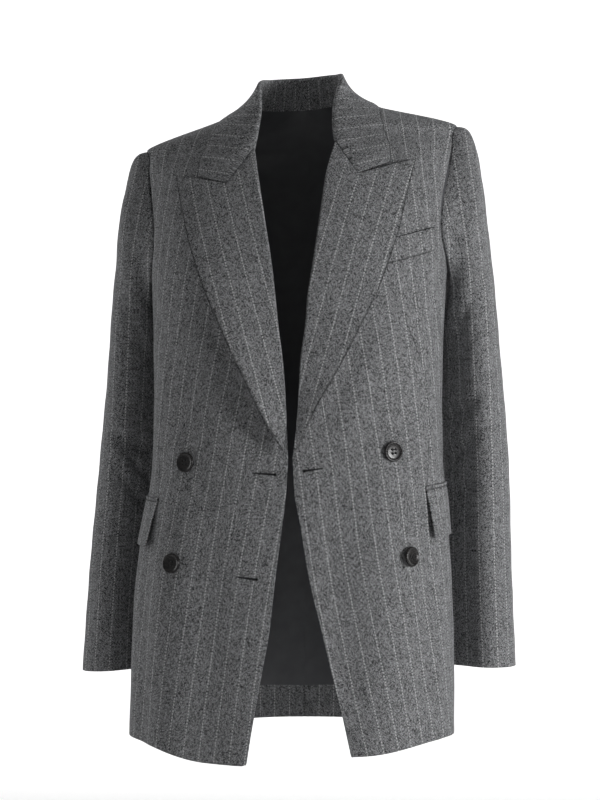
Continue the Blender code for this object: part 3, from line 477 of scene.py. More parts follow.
def inset(grid, edges, by=SEAM / 2):
    """Draw the named edges of a grid in, square to themselves, for the seam's line."""
    grid = grid.copy()
    lines = {
        "left": (np.s_[:, 0], np.s_[:, 1]),
        "right": (np.s_[:, -1], np.s_[:, -2]),
        "low": (np.s_[0], np.s_[1]),
        "top": (np.s_[-1], np.s_[-2]),
    }
    for name in edges:
        edge, beside = lines[name]
        along = unit(np.gradient(grid[edge], axis=0))
        inward = grid[beside] - grid[edge]
        inward = inward - np.sum(inward * along, axis=1, keepdims=True) * along
        grid[edge] += by * unit(inward)
    return grid


# The right side's pieces are cut from another place along the cloth, so no fleck is mirrored.
OTHER_LAY = np.array([40 * CHEVRON, 311.0])
FAR = 50.0  # stands for a place with no seam near it


def cloth_piece(name, outer, inner, side, cut, inside=LINING, seam=None, dart=None, facing=None):
    """A closed wall of cloth: outer and inner grids, and a rounded edge all round between them.

    cut holds each outer point's place in the flat cut, seam and dart its distance to a sewn line or an
    edge, near which the colour is painted darker as shade, and facing says which inner cells show the
    wool turned in instead of the lining.
    """
    rows, columns = outer.shape[:2]
    size = rows * columns
    index = np.arange(size).reshape(rows, columns)
    ring = np.concatenate([index[:, 0], index[-1, 1:], index[-2::-1, -1], index[0, -2:0:-1]])
    outer, inner = hang(outer, side), hang(inner, side)
    flat_outer, flat_inner = outer.reshape(-1, 3), inner.reshape(-1, 3)
    middle = (outer + inner) / 2
    beside = middle.copy()
    beside[:, 0], beside[:, -1] = middle[:, 1], middle[:, -2]
    beside[0], beside[-1] = middle[1], middle[-2]
    thick = np.linalg.norm(flat_outer[ring] - flat_inner[ring], axis=1, keepdims=True)
    proud = unit(middle.reshape(-1, 3)[ring] - beside.reshape(-1, 3)[ring]) * thick * 0.22
    edge = middle.reshape(-1, 3)[ring] + proud
    points = np.concatenate([flat_outer, flat_inner, edge])
    quads = np.stack([index[:-1, :-1], index[:-1, 1:], index[1:, 1:], index[1:, :-1]], axis=-1)
    quads = quads.reshape(-1, 4)
    after = np.roll(ring, -1)
    rim = 2 * size + np.arange(len(ring))
    rim_after = np.roll(rim, -1)
    strips = [
        np.stack([ring, after, rim_after, rim], axis=1),
        np.stack([rim, rim_after, after + size, ring + size], axis=1),
    ]
    faces = np.concatenate([quads, quads[:, ::-1] + size, *strips])
    turned = np.ones((rows - 1, columns - 1), int) if facing is None else np.where(facing, 0, 1)
    finish = np.concatenate([np.zeros(len(quads), int), turned.ravel(), np.zeros(2 * len(ring), int)])
    if side < 0:
        faces = faces[:, ::-1]
    mesh = bpy.data.meshes.new(name)
    mesh.from_pydata(points.tolist(), [], faces.tolist())
    mesh.materials.append(WOOL)
    mesh.materials.append(inside)
    mesh.polygons.foreach_set("material_index", finish.astype(np.int32))
    flat_cut = cut.reshape(-1, 2) + (0 if side > 0 else OTHER_LAY)
    places = np.concatenate([flat_cut, flat_cut, flat_cut[ring]]) * MM
    layer = mesh.uv_layers.new(name="cut", do_init=False)
    layer.uv.foreach_set("vector", places[faces.ravel()].astype(np.float32).ravel())
    for label, away in (("seam", seam), ("dart", dart)):
        away = np.full(size, FAR) if away is None else away.ravel()
        held = mesh.attributes.new(label, "FLOAT", "POINT")
        held.data.foreach_set("value", np.concatenate([away, away, away[ring]]).astype(np.float32))
    mesh.shade_smooth()
    mesh.set_sharp_from_angle(angle=math.radians(42))
    piece = bpy.data.objects.new(name, mesh)
    bpy.context.scene.collection.objects.link(piece)
    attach(piece, "root")
    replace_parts(piece, name)
    return piece


def state_cut(piece, cut):
    """The flat piece's width and length, worked out from its cut and not used further."""
    width, length = float(np.ptp(cut[..., 0]) * MM), float(np.ptp(cut[..., 1]) * MM)
    length = max(length, 0.0102)  # no length is taken as shorter than this


FINE = 8  # grid rows here for each row of the solid
FINE_ACROSS = 6
EDGE_ROWS = 7 * FINE  # up the free front edge
ROLL_ROWS = 10 * FINE  # up the roll line
NECK_ROWS = 5 * FINE  # up the front neck seam
SIDE_ROWS = 12 * FINE  # up the side seams
ARMHOLE_ROWS = EDGE_ROWS + ROLL_ROWS + NECK_ROWS - SIDE_ROWS
UNDERARM_CELLS = 4 * FINE_ACROSS
SHOULDER_CELLS = 8 * FINE_ACROSS
BREAK_Z = -407

FRONT_EDGE = table(
    "z      left right",
    [
        (-407, 4.6, 1.2),
        (-445, 8, 2.2),
        (-485, 17, 5.2),
        (-540, 28, 10.4),
        (-600, 43.5, 16),
        (-645, 55, 23.5),
        (-690, 67, 31),
        (-760, 83, 42),
    ],
)
ROLL_LINE = table(
    "z      left right",
    [
        (-52, 48.5, 47.5),
        (-88, 41, 40.5),
        (-140, 35, 31),
        (-190, 28.5, 22.5),
        (-225, 23, 18.5),
        (-262, 19.5, 14.5),
        (-300, 14, 9.5),
        (-350, 10.5, 5),
        (-380, 7.5, 2.4),
        (-407, 4.6, 1.2),
    ],
)
HEM = table(
    "angle left right",
    [(0, -743, -752), (25, -741, -748), (50, -733, -733), (75, -728, -727), (180, -729, -729)],
)
NECK_SEAM = table("z x", [(-52, 48), (-36, 54.5), (-18, 60), (0, 63.5), (11, 66.5)])
NECK_POINT_Z = 11
SHOULDER_POINT_Z = -34
# The armhole seen from the side: from the shoulder point forward, down and round the back.
ARMHOLE = table(
    "y z",
    [
        (8, -34),
        (-14, -62),
        (-36, -95),
        (-55, -130),
        (-57, -162),
        (-38, -189),
        (0, -201),
        (36, -193),
        (59, -166),
        (67, -130),
        (60, -93),
        (38, -58),
    ],
)
FRONT_NOTCH = 5  # row of ARMHOLE where the front meets the side panel
BACK_NOTCH = 8  # and where the side panel meets the back
SIDE_SEAMS = table("z front back", [(-170, 84, 119), (-340, 84, 117), (-450, 84, 119), (-790, 82, 124)])
DART = [(127, -253), (145, -300), (150.6, -329), (155.6, -375), (154.9, -446.5)]


def armhole_loop():
    """The whole armhole as (angle, z) points on the body, split where the panels meet."""
    loop = through(points_of(ARMHOLE, "yz"), 12 * 12 + 1, closed=True)
    angles = np.array([depth_angle(y, z) for y, z in loop])
    points = np.stack([angles, loop[:, 1]], axis=1)
    first, second = [
        int(np.argmin(np.hypot(loop[:, 0] - ARMHOLE["y"][k], loop[:, 1] - ARMHOLE["z"][k])))
        for k in (FRONT_NOTCH, BACK_NOTCH)
    ]
    runs = (points[: first + 1], points[first : second + 1], points[second:])
    lengths = (ARMHOLE_ROWS, UNDERARM_CELLS, ARMHOLE_ROWS)
    return [evenly(run, cells + 1, plain_body(*run.T)) for run, cells in zip(runs, lengths)]


def edge_curve(rows, side, low, high, count):
    """A run of a front line as (angle, z) points, from its low end to its high end."""
    z = np.linspace(low, high, 120)
    points = np.stack([front_angle(smooth(rows, "z", SIDES[side], z), z), z], axis=1)
    return evenly(points, count, plain_body(*points.T))


def hem_z(angle, side):
    return smooth(HEM, "angle", SIDES[side], angle)


def hem_line(start, end, cells, side):
    angle = np.linspace(start, end, cells + 1)
    return np.stack([angle, hem_z(angle, side)], axis=1)


def side_seam(name, side, top):
    """A side seam as (angle, z) points from the hem up to its notch in the armhole."""
    z = np.linspace(hem_z(84, side), top[1], 120)
    to_notch = top[0] - smooth(SIDE_SEAMS, "z", name, top[1])
    angle = smooth(SIDE_SEAMS, "z", name, z) + to_notch * np.linspace(0, 1, 120) ** 3
    return evenly(np.stack([angle, z], axis=1), SIDE_ROWS + 1)


def shoulder_line(start_z, end_z):
    line = np.stack([np.full(120, 90.0), np.linspace(start_z, end_z, 120)], axis=1)
    return evenly(line, SHOULDER_CELLS + 1, plain_body(*line.T))


def front_domain(side):
    armhole_front = armhole_loop()[0][::-1]
    right = np.vstack([side_seam("front", side, armhole_front[0]), armhole_front[1:]])
    edge = edge_curve(FRONT_EDGE, side, hem_z(20, side), BREAK_Z, EDGE_ROWS + 1)
    roll = edge_curve(ROLL_LINE, side, BREAK_Z, ROLL_LINE["z"].max(), ROLL_ROWS + 1)
    neck_z = np.linspace(ROLL_LINE["z"].max(), NECK_POINT_Z, 80)
    neck = np.stack([front_angle(smooth(NECK_SEAM, "z", "x", neck_z), neck_z), neck_z], axis=1)
    neck[0], neck[-1, 0] = roll[-1], 90
    neck = evenly(neck, NECK_ROWS + 1, plain_body(*neck.T))
    left = np.vstack([edge, roll[1:], neck[1:]])
    hem = hem_line(left[0, 0], right[0, 0], SHOULDER_CELLS, side)
    hem[0], right[0] = left[0], hem[-1]
    return panel_grid(left, right, hem, shoulder_line(NECK_POINT_Z, SHOULDER_POINT_Z), 0), roll


def dip(away, depth, width):
    """How far a face dips at a sewn line, from its distance to that line."""
    return depth * np.exp(-((away / width) ** 2))


SEAM_DIP, SEAM_WIDTH = 0.8, 2.2  # how deep a panel dips into a seam, and from how far


def seam_roll(grid, normal, edges, depth=SEAM_DIP, width=SEAM_WIDTH):
    """Press a panel's face down where it turns into a seam, and give the distance to the seams, by
    which the colour is painted darker there as shade.
    """
    near = np.full(grid.shape[:2], FAR)
    for name in edges:
        away = edge_distance(grid, name)
        near = np.minimum(near, away / width * SEAM_WIDTH)
        grid = grid - normal * dip(away, depth, width)[..., None]
    return grid, near


FACING_WIDTH = 85  # width of the wool facing inside the front edge
HEM_TURN = 38  # how much of each hem is turned up inside
ARMHOLE_DIP, ARMHOLE_WIDTH = 1.4, 4.0  # the same as at a seam, at the armhole below the shoulder
ALL_EDGES = ("left", "right", "low", "top")


def body_panel(name, domain, side, edges, cut_of, armhole=None, dart_line=None, facing=0):
    """A body panel from its grid of (angle, z) points, with the seams on the named edges.

    cut_of gives its flat cut, armhole names the edge whose upper part is the armhole, where the seam
    lies deeper, and facing is how wide the wool shows inside its left edge.
    """
    grid = finer_at(domain, ALL_EDGES)
    angle, z = grid[..., 0], grid[..., 1]
    plain, normal, cut = on_body(angle, z, side), outward(angle, z), cut_of(angle, z, side)
    turned_in = (edge_distance(plain, "left") < facing) | (edge_distance(plain, "low") < HEM_TURN)
    dart = None if dart_line is None else line_distance(plain_body(angle, z)[..., [0, 2]], dart_line)
    outer = inset(plain, edges)
    if armhole:
        deep = np.clip((-38 - z[:, 0 if armhole == "left" else -1]) / 50, 0, 1)
        deep[:-ARMHOLE_ROWS] = 0
        deep = deep * np.clip((np.arange(len(deep)) - len(deep) + ARMHOLE_ROWS) / 12, 0, 1)
        press = dip(edge_distance(outer, armhole), ARMHOLE_DIP * deep[:, None], ARMHOLE_WIDTH)
    outer, near = seam_roll(outer, normal, edges)
    if armhole:
        # On top of the shoulder the sleeve's head fills the seam, so the panel stays level there.
        level = SEAM_DIP * np.clip((z + 60) / 20, 0, 1)
        level = dip(edge_distance(outer, armhole), level, SEAM_WIDTH)
        outer = outer + (level - press)[..., None] * normal
        # Along the armhole the painted shade line is wider, most below the shoulder.
        near = np.minimum(near, edge_distance(outer, armhole) / (1 + deep[:, None]))
    inner = plain - CLOTH * normal
    piece = cloth_piece(name, outer, inner, side, cut, seam=near, dart=dart, facing=turned_in[:-1, :-1])
    state_cut(piece, cut)


def line_distance(points, line):
    """Signed distance in the front's plane from points to a line of x and z, far off past its ends."""
    dense = through(np.array(line, float), 80)
    step = unit(np.gradient(dense, axis=0))
    offset = points[..., None, :] - dense
    nearest = np.argmin(np.linalg.norm(offset, axis=-1), axis=-1)
    chosen = np.take_along_axis(offset, nearest[..., None, None], axis=-2)[..., 0, :]
    along = step[nearest]
    off = chosen[..., 0] * along[..., 1] - chosen[..., 1] * along[..., 0]
    past = np.abs(np.sum(chosen * along, axis=-1))
    return off + np.sign(off + 1e-9) * past * 2


for SIDE, NAME in SIDES.items():
    FRONT = front_domain(SIDE)[0]
    body_panel("front_" + NAME, FRONT, SIDE, ("right", "top"), front_cut, "right", DART, FACING_WIDTH)

# ---------------------------------------------------------------- side panels
# A narrow panel under each arm, of the same wool, sewn to the front and the back from the armhole to
# the hem. Its stripes run on from the front's, straight down the side.


def side_domain(side):
    under = armhole_loop()[1]
    left = side_seam("front", side, under[0])
    right = side_seam("back", side, under[-1])
    hem = hem_line(left[0, 0], right[0, 0], UNDERARM_CELLS, side)
    left[0], right[0] = hem[0], hem[-1]
    return panel_grid(left, right, hem, under, 0)


def straight_cut(angle, z, side):
    """The flat cut of a panel whose stripes hang straight, measured from the centre back."""
    across = measured(ROUND, 180.0, z) - measured(ROUND, angle, z)
    return np.stack([across, measured(UP, angle, z)], axis=-1)


for SIDE, NAME in SIDES.items():
    body_panel("side_" + NAME, side_domain(SIDE), SIDE, ("left", "right", "top"), straight_cut)

# ---------------------------------------------------------------- the two backs
# Two backs of the same wool meet in a shaped centre seam and join the fronts at the shoulders. The
# stripes hang straight down from the blades, and the hem is turned up inside.

BACK_NECK_CELLS = 4 * FINE_ACROSS
BACK_NECK_Z = 9
BLADE_Z = -205


def back_domain(side):
    armhole_back = armhole_loop()[2]
    left = np.vstack([side_seam("back", side, armhole_back[0]), armhole_back[1:]])
    low = np.linspace(hem_z(180, side), BLADE_Z, SIDE_ROWS + 1)
    z = np.concatenate([low, np.linspace(BLADE_Z, BACK_NECK_Z, ARMHOLE_ROWS + 1)[1:]])
    right = np.stack([np.full(len(left), 180.0), z], axis=1)
    neck = np.stack([np.linspace(90, 180, 80), np.linspace(NECK_POINT_Z, BACK_NECK_Z, 80)], axis=1)
    neck = evenly(neck, BACK_NECK_CELLS + 1, plain_body(*neck.T))
    top = np.vstack([shoulder_line(SHOULDER_POINT_Z, NECK_POINT_Z), neck[1:]])
    hem = hem_line(left[0, 0], 180, SHOULDER_CELLS + BACK_NECK_CELLS, side)
    left[0], right[0] = hem[0], hem[-1]
    return panel_grid(left, right, hem, top, 180)


def back_cut(angle, z, side):
    cut = straight_cut(angle, z, side)
    cut[..., 0] = over_shoulder(cut[..., 0], angle, z)
    return cut


for SIDE, NAME in SIDES.items():
    body_panel("back_" + NAME, back_domain(SIDE), SIDE, ("left", "right", "top"), back_cut, "left")

# ---------------------------------------------------------------- sleeves
# Two-piece sleeves of the same wool, eased into the armhole and lined: an upper and a narrower under
# piece, joined by a seam in front and one at the elbow. They hang a little bent, with soft breaks.

SLEEVE_RINGS = 18 * FINE + 1
SLEEVE_LENGTH = 640
SEAM_CELLS = 3 * FINE  # from the side panel's notches out to the sleeve's two seams
CAP_SHARE = 0.13  # of the sleeve's length in which the armhole's shape turns into the tube's
SLEEVE_OUTER = table(
    "x y z",
    [
        (184.5, 8, -34),
        (194, 9, -36.5),
        (201, 10, -44),
        (207, 12, -60),
        (211, 15, -80),
        (216.5, 22, -125),
        (221.5, 31, -181),
        (227, 39, -240),
        (233, 45, -302),
        (238, 49, -348),
        (243.5, 50, -411),
        (248.5, 50, -480),
        (254, 49, -569),
        (259, 47, -659),
    ],
)
SLEEVE_INNER = table(
    "x y z",
    [
        (172, 4, -201),
        (173, 14, -214),
        (168, 27, -236),
        (160, 36, -266),
        (157, 44, -306),
        (158, 49, -350),
        (163, 52, -420),
        (167, 54, -500),
        (171, 53, -580),
        (173.5, 51, -656),
    ],
)
SLEEVE_DEPTH = table(
    "along half turn",
    [(0, 62, 2), (0.12, 66, 6), (0.3, 67, 11), (0.5, 62, 10), (0.7, 56, 9), (1, 49, 7)],
)
SLEEVE_FOLDS = table(
    "side angle along half_angle half_along depth",
    [
        (1, 230, 0.50, 60, 0.020, 3.5),
        (1, 250, 0.56, 50, 0.018, 3.0),
        (-1, 235, 0.49, 60, 0.022, 4.0),
        (-1, 215, 0.55, 50, 0.018, 3.0),
        (1, 95, 0.24, 45, 0.03, 3.0),
        (-1, 85, 0.22, 45, 0.03, 3.0),
        (1, 320, 0.20, 40, 0.03, 2.5),
        (-1, 325, 0.22, 40, 0.03, 2.5),
    ],
)
# The straight grain down the front of the sleeve.
GRAIN = table("z x", [(-34, 172), (-120, 186), (-200, 196), (-300, 201), (-420, 207), (-660, 219)])
# Creases on the sleeve, from one place to another: angle round from the top seam by way of the
# front, and share of the length down.
SLEEVE_CREASES = table(
    "side angle_from along_from angle_to along_to half depth",
    [
        (-1, 160, 0.44, 60, 0.51, 11, 6.5),
        (-1, 165, 0.53, 85, 0.50, 9, 5.0),
        (-1, 150, 0.60, 80, 0.56, 11, 3.5),
        (1, 160, 0.39, 75, 0.46, 12, 5.5),
        (1, 165, 0.50, 90, 0.52, 11, 4.5),
        (1, 160, 0.58, 95, 0.62, 12, 3.0),
        (1, 140, 0.24, 70, 0.33, 14, 2.2),
        (-1, 140, 0.22, 70, 0.32, 14, 2.0),
        (1, 74, 0.20, 82, 1.15, 22, -4.5),
        (1, 128, 0.14, 124, 1.15, 20, 5.0),
        (-1, 80, 0.20, 84, 1.15, 22, -3.0),
        (-1, 130, 0.12, 126, 1.15, 20, 5.0),
        (1, 215, 0.46, 290, 0.41, 9, 3.0),
        (1, 210, 0.53, 285, 0.50, 8, 2.4),
        (-1, 215, 0.45, 290, 0.40, 9, 3.0),
        (-1, 210, 0.52, 285, 0.50, 8, 2.6),
        (1, 230, 0.22, 300, 0.14, 12, 2.4),
        (-1, 230, 0.21, 300, 0.13, 12, 2.4),
    ],
)


def into_opening(edge, normals, centre):
    """Unit vectors that run on from a panel's edge, in its surface, towards an opening's centre."""
    across = unit(np.cross(np.gradient(edge, axis=0), normals))
    return across * np.sign(np.sum(across * (centre - edge), axis=1, keepdims=True))


def grid_normal(grid, closed=False):
    """Unit normals of a grid whose rows run along and whose columns run round."""
    if closed:
        across = np.roll(grid[:, :-1], -1, axis=1) - np.roll(grid[:, :-1], 1, axis=1)
        across = np.concatenate([across, across[:, :1]], axis=1)
    else:
        across = np.gradient(grid, axis=1)
    return unit(np.cross(across, np.gradient(grid, axis=0)))


def sleeve_angles(start, low):
    """The angle round the sleeve of each point of the armhole, 0 at the top and 90 in front."""
    length = lengths_along(start)
    bottom = int(np.argmin(np.linalg.norm(start - low, axis=1)))
    first = np.pi * length[: bottom + 1] / length[bottom]
    second = np.pi + np.pi * (length[bottom + 1 :] - length[bottom]) / (length[-1] - length[bottom])
    return np.concatenate([first, second])


def sleeve_press(share, angle, side):
    depth = 0.4 * np.sin(angle * 0.05 + share * 31 + side) * np.sin(share * 47 - angle * 0.02)
    for fold in rows_of(SLEEVE_FOLDS, side):
        round_by = (angle - fold["angle"] + 180) % 360 - 180
        near = (round_by / fold["half_angle"]) ** 2 + ((share - fold["along"]) / fold["half_along"]) ** 2
        depth = depth + fold["depth"] * np.exp(-near)
    for line in rows_of(SLEEVE_CREASES, side):
        start, end = SLEEVE_LENGTH * line["along_from"], SLEEVE_LENGTH * line["along_to"]
        ends = (line["angle_from"], start, line["angle_to"], end)
        depth = depth + line["depth"] * near_line(angle, SLEEVE_LENGTH * share, *ends, line["half"])
    return depth


def sleeve_cut(rings, bottom, outer_line):
    """The flat cut of each point: its way round the sleeve at its own height, and down from the top."""
    heights = np.arange(-20, -675, -3.0)
    levels = np.stack(
        [
            [np.interp(-heights, -column[:, 2], column[:, k]) for k in range(3)]
            for column in np.swapaxes(rings, 0, 1)
        ]
    ).transpose(0, 2, 1)
    ahead = lengths_along(levels[..., :2])
    behind = lengths_along(levels[::-1, :, :2])[::-1]
    whole = ahead[bottom] + behind[bottom]
    grain = []
    for k, z in enumerate(heights):
        held = 1 + int(np.sum(rings[0, 1 : bottom + 1, 2] > z))
        x, x_grain = levels[:held, k, 0], smooth(GRAIN, "z", "x", z)
        grain.append(np.interp(-x_grain, -x, ahead[:held, k]) + max(x[-1] - x_grain, 0))
    later = np.arange(len(levels)) > bottom
    across = np.where(later[:, None], whole - behind, ahead)
    at = [np.interp(-rings[:, c, 2], -heights, across[c] - grain) for c in range(rings.shape[1])]
    round_all = np.interp(-rings[..., 2], -heights, whole)
    along = np.interp(-rings[..., 2], -outer_line[:, 2], lengths_along(outer_line))
    return np.stack([np.stack(at, axis=1), -along, round_all], axis=-1)


def sleeve_grid(side):
    """Rings of the sleeve's outer and inner face, from the armhole to the cuff, and the flat cut."""
    front, under, back = armhole_loop()
    domain = np.vstack([front, under[1:], back[1:]])
    start = on_body(domain[:, 0], domain[:, 1], side)
    body_out = outward(domain[:, 0], domain[:, 1])
    onward = into_opening(start, body_out, start[:-1].mean(axis=0))
    onward[0] = onward[-1] = unit(onward[0] + onward[-1])
    outer_line = through(points_of(SLEEVE_OUTER, "xyz"), SLEEVE_RINGS)
    inner_line = through(points_of(SLEEVE_INNER, "xyz"), SLEEVE_RINGS)
    angles = sleeve_angles(start, inner_line[0])
    shares = np.linspace(0, 1, SLEEVE_RINGS)
    middle = (outer_line + inner_line)[:, None] / 2
    to_outer = (outer_line - inner_line)[:, None] / 2
    half = smooth(SLEEVE_DEPTH, "along", "half", shares)
    turn = np.radians(smooth(SLEEVE_DEPTH, "along", "turn", shares))
    to_front = (half[:, None] * np.stack([np.sin(turn), -np.cos(turn), 0 * turn], axis=1))[:, None]
    rings = middle + np.cos(angles)[None, :, None] * to_outer + np.sin(angles)[None, :, None] * to_front
    fade = np.minimum(shares / CAP_SHARE, 1)[:, None, None]
    rings = rings + (1 - fade) ** 2 * (1 + 2 * fade) * (start - rings[0])
    rings[0] = start + onward * SEAM
    normal = grid_normal(rings, closed=True)
    rings = rings - normal * sleeve_press(shares[:, None], np.degrees(angles)[None], side)[..., None]
    normal = grid_normal(rings, closed=True)
    inner = rings - CLOTH * normal
    inner[0] = start - CLOTH * body_out
    cut = sleeve_cut(rings, int(np.argmin(rings[0, :, 2])), outer_line)
    # By the armhole the cut runs on ring by ring from what lies below, as the cloth itself does.
    for k in (3, 2, 1, 0):
        down, across = rings[k + 2] - rings[k + 1], np.gradient(rings[k + 1], axis=0)
        step = rings[k] - rings[k + 1]
        parts = np.linalg.pinv(np.stack([down, across], axis=-1)) @ step[..., None]
        cut_of = np.stack([cut[k + 2] - cut[k + 1], np.gradient(cut[k + 1], axis=0)], axis=-1)[:, :2]
        cut[k, :, :2] = cut[k + 1, :, :2] + (cut_of @ parts)[..., 0]
    return rings, inner, normal, cut, len(front), len(front) + len(under) - 1


FIRST_SLEEVE_STRIPE = {"upper": 3, "under": -1}  # from the straight grain

for SIDE, NAME in SIDES.items():
    OUTER, INNER, NORMAL, PLACE, FRONT_COUNT, UNDER_END = sleeve_grid(SIDE)
    FRONT_SEAM, ELBOW_SEAM = FRONT_COUNT - 1 - SEAM_CELLS, UNDER_END + SEAM_CELLS
    PIECES = {
        "upper": [*range(ELBOW_SEAM, OUTER.shape[1]), *range(1, FRONT_SEAM + 1)],
        "under": [*range(FRONT_SEAM, ELBOW_SEAM + 1)],
    }
    for KIND, COLUMNS in PIECES.items():
        ACROSS, ALONG, ROUND_ALL = np.moveaxis(PLACE[:, COLUMNS], 2, 0)
        if KIND == "upper":
            ACROSS = np.where(np.array(COLUMNS) >= ELBOW_SEAM, ACROSS - ROUND_ALL, ACROSS)
        CUT = np.stack([ACROSS + FIRST_SLEEVE_STRIPE[KIND], ALONG], axis=-1)
        STACK = np.concatenate([OUTER[:, COLUMNS], INNER[:, COLUMNS], NORMAL[:, COLUMNS], CUT], axis=2)
        STACK = finer_at(STACK, ("left", "right", "low"))
        FACE, BACK, OUT, CUT = np.split(STACK, (3, 6, 9), axis=2)
        OUT = unit(OUT)
        FACE = inset(FACE, ("left", "right"))
        FACE, NEAR = seam_roll(FACE, OUT, ("left", "right"), depth=0.35, width=1.6)
        # Round the armhole the sleeve's head dips into the seam, most below the shoulder.
        DEEP = np.clip((-38 - FACE[:1, :, 2]) / 50, 0, 1)
        HEAD = edge_distance(FACE, "low")
        FACE = FACE - OUT * dip(HEAD, 0.1 + 1.3 * DEEP, 3.5)[..., None]
        # The sleeve head's seam gets the painted shade line too, wider below the shoulder.
        NEAR = np.minimum(NEAR + 0.6, HEAD / (1 + DEEP))
        TURNED_IN = edge_distance(FACE, "top")[:-1, :-1] < HEM_TURN
        PIECE = cloth_piece(f"{KIND}_sleeve_{NAME}", FACE, BACK, SIDE, CUT, seam=NEAR, facing=TURNED_IN)
        state_cut(PIECE, CUT)

# ---------------------------------------------------------------- lapels
# Broad peak lapels turn back from the roll line, faced with the same wool. Their stripes run along
# the outer edge. They roll softly and stand a little off the chest, more so towards the break.

ROLL = 2.6  # radius of the soft fold, at mid cloth
SEWN_OFF = 0.8 + SEAM  # from the front's edge to the leaf that is sewn on to it
LAPEL_LIFT = 4.1  # mid cloth of the lapel's edge above the front
LAPEL_CELLS = 7 * FINE_ACROSS
CORNER_CELLS = 3 * FINE_ACROSS
TURN = np.radians(np.linspace(270, 90, 13))
TO_TURN = np.pi * ROLL * np.linspace(1, 0, len(TURN))  # the way still to go round the fold
GORGE_CORNER = (74, -90)
LAPEL_EDGE = table(
    "z      left right",
    [
        (-76, 135.5, 133.5),
        (-117, 126.5, 122.5),
        (-153, 119, 112.5),
        (-185, 109.5, 102),
        (-221, 96.5, 88.5),
        (-268, 74.5, 68.5),
        (-312, 51.5, 49),
        (-353, 29, 31),
        (-382, 15.5, 15.5),
        (-398, 9, 5.6),
    ],
)
# How much further the lapel's edge stands off than a pressed one, at each height.
STAND_OFF = table(
    "z left right",
    [
        (-60, 3, 5),
        (-110, 3.5, 6),
        (-200, 5, 8.5),
        (-290, 7, 11.5),
        (-340, 7, 12),
        (-380, 3, 6.5),
        (-404, 0, 0),
    ],
)
LAPEL_LEAN = math.radians(15)  # of its stripes, from upright
STRIPE_ROW = -30  # the row, from the top, where the first stripe is set from the outer edge
EDGE_STRIPE = {1: 3.0, -1: 13.0}  # from the lapel's outer edge in to its first stripe


def gorge_line(start, end):
    """The gorge from the roll line to its corner, and on to a tip, as x and z on the front."""
    first = np.linspace(start, GORGE_CORNER, CORNER_CELLS + 1)
    return np.vstack([first, np.linspace(GORGE_CORNER, end, LAPEL_CELLS - CORNER_CELLS + 1)[1:]])


def leaf_lift():
    """Height of mid cloth above the front, from the roll line out to the free edge."""
    share = np.linspace(0, 1, LAPEL_CELLS + 1)
    return LAPEL_LIFT + (2 * ROLL - 1 - LAPEL_LIFT) * (1 - share) ** 3


def on_front(plane, side, lift):
    """Points over the front from their x and z."""
    return on_body(front_angle(plane[..., 0], plane[..., 1]), plane[..., 1], side, lift)


def turn_normals(away, up):
    """Which way the cloth faces as it turns over at a fold, from its inner end outwards."""
    return np.stack([math.cos(t) * away + math.sin(t) * up for t in TURN], axis=1)


def leaf_piece(name, mid, normal, side, cut, edges):
    """A turned-back leaf of cloth from its middle surface, wool on both faces, with its seams."""
    half = unit(normal) * CLOTH / 2
    outer, near = seam_roll(mid + half, unit(normal), edges, depth=0.7, width=1.8)
    # Along the free edge the colour is painted darker as well, as the shade under the raised edge.
    near = np.minimum(near, edge_distance(mid, "right") * 0.34)
    piece = cloth_piece(name, outer, mid - half, side, cut, inside=WOOL, seam=near)
    state_cut(piece, cut)


for SIDE, NAME in SIDES.items():
    ROWS = front_domain(SIDE)[1][FINE:]
    BASE = on_body(ROWS[:, 0], ROWS[:, 1], SIDE)
    RISE = outward(ROWS[:, 0], ROWS[:, 1])
    ROLL_XZ = BASE[:, [0, 2]]
    EDGE_Z = np.linspace(LAPEL_EDGE["z"].min(), LAPEL_EDGE["z"].max(), 160)
    EDGE_XZ = evenly(np.stack([smooth(LAPEL_EDGE, "z", NAME, EDGE_Z), EDGE_Z], axis=1), len(ROWS))
    LOW = np.linspace(ROLL_XZ[0], EDGE_XZ[0], LAPEL_CELLS + 1)
    PLANE = coons(ROLL_XZ, EDGE_XZ, LOW, gorge_line(ROLL_XZ[-1], EDGE_XZ[-1]))
    SHARE = np.linspace(0, 1, LAPEL_CELLS + 1)[None]
    STAND = smooth(STAND_OFF, "z", NAME, PLANE[..., 1]) * SHARE**1.5
    PRESS = pressed_in(front_angle(PLANE[..., 0], PLANE[..., 1]), PLANE[..., 1], SIDE)
    LEAF = on_front(PLANE, SIDE, leaf_lift()[None] + STAND + PRESS * SHARE)
    AWAY = LEAF[:, 2] - LEAF[:, 0]
    AWAY = unit(AWAY - np.sum(AWAY * RISE, axis=1, keepdims=True) * RISE)
    FACES_TO = turn_normals(AWAY, RISE)
    TURNED = (BASE + RISE * (ROLL - 1) - AWAY * SEWN_OFF)[:, None] + ROLL * FACES_TO
    MID = np.concatenate([TURNED, LEAF[:, 1:]], axis=1)
    NORMALS = np.concatenate([FACES_TO, grid_normal(LEAF)[:, 1:]], axis=1)
    X = np.concatenate([TURNED[:, -1:, 0] - TO_TURN, LEAF[:, 1:, 0]], axis=1)
    ACROSS = X * math.cos(LAPEL_LEAN) - MID[..., 2] * math.sin(LAPEL_LEAN)
    ALONG = MID[..., 2] * math.cos(LAPEL_LEAN) + X * math.sin(LAPEL_LEAN)
    CUT = np.stack([ACROSS - ACROSS[STRIPE_ROW, -1] + EDGE_STRIPE[SIDE], ALONG], axis=-1)
    STACK = finer_at(np.concatenate([MID, NORMALS, CUT], axis=2), ("top", "right"))
    MID, NORMALS, CUT = np.split(STACK, (3, 6), axis=2)
    leaf_piece("lapel_" + NAME, inset(MID, ("top",)), NORMALS, SIDE, CUT, ("top", "right"))

# ---------------------------------------------------------------- collar
# The collar is a fall of the same wool, turned over a stand that is sewn round the neck. Its stripes
# run across it. The front ends meet the lapels along the gorge.

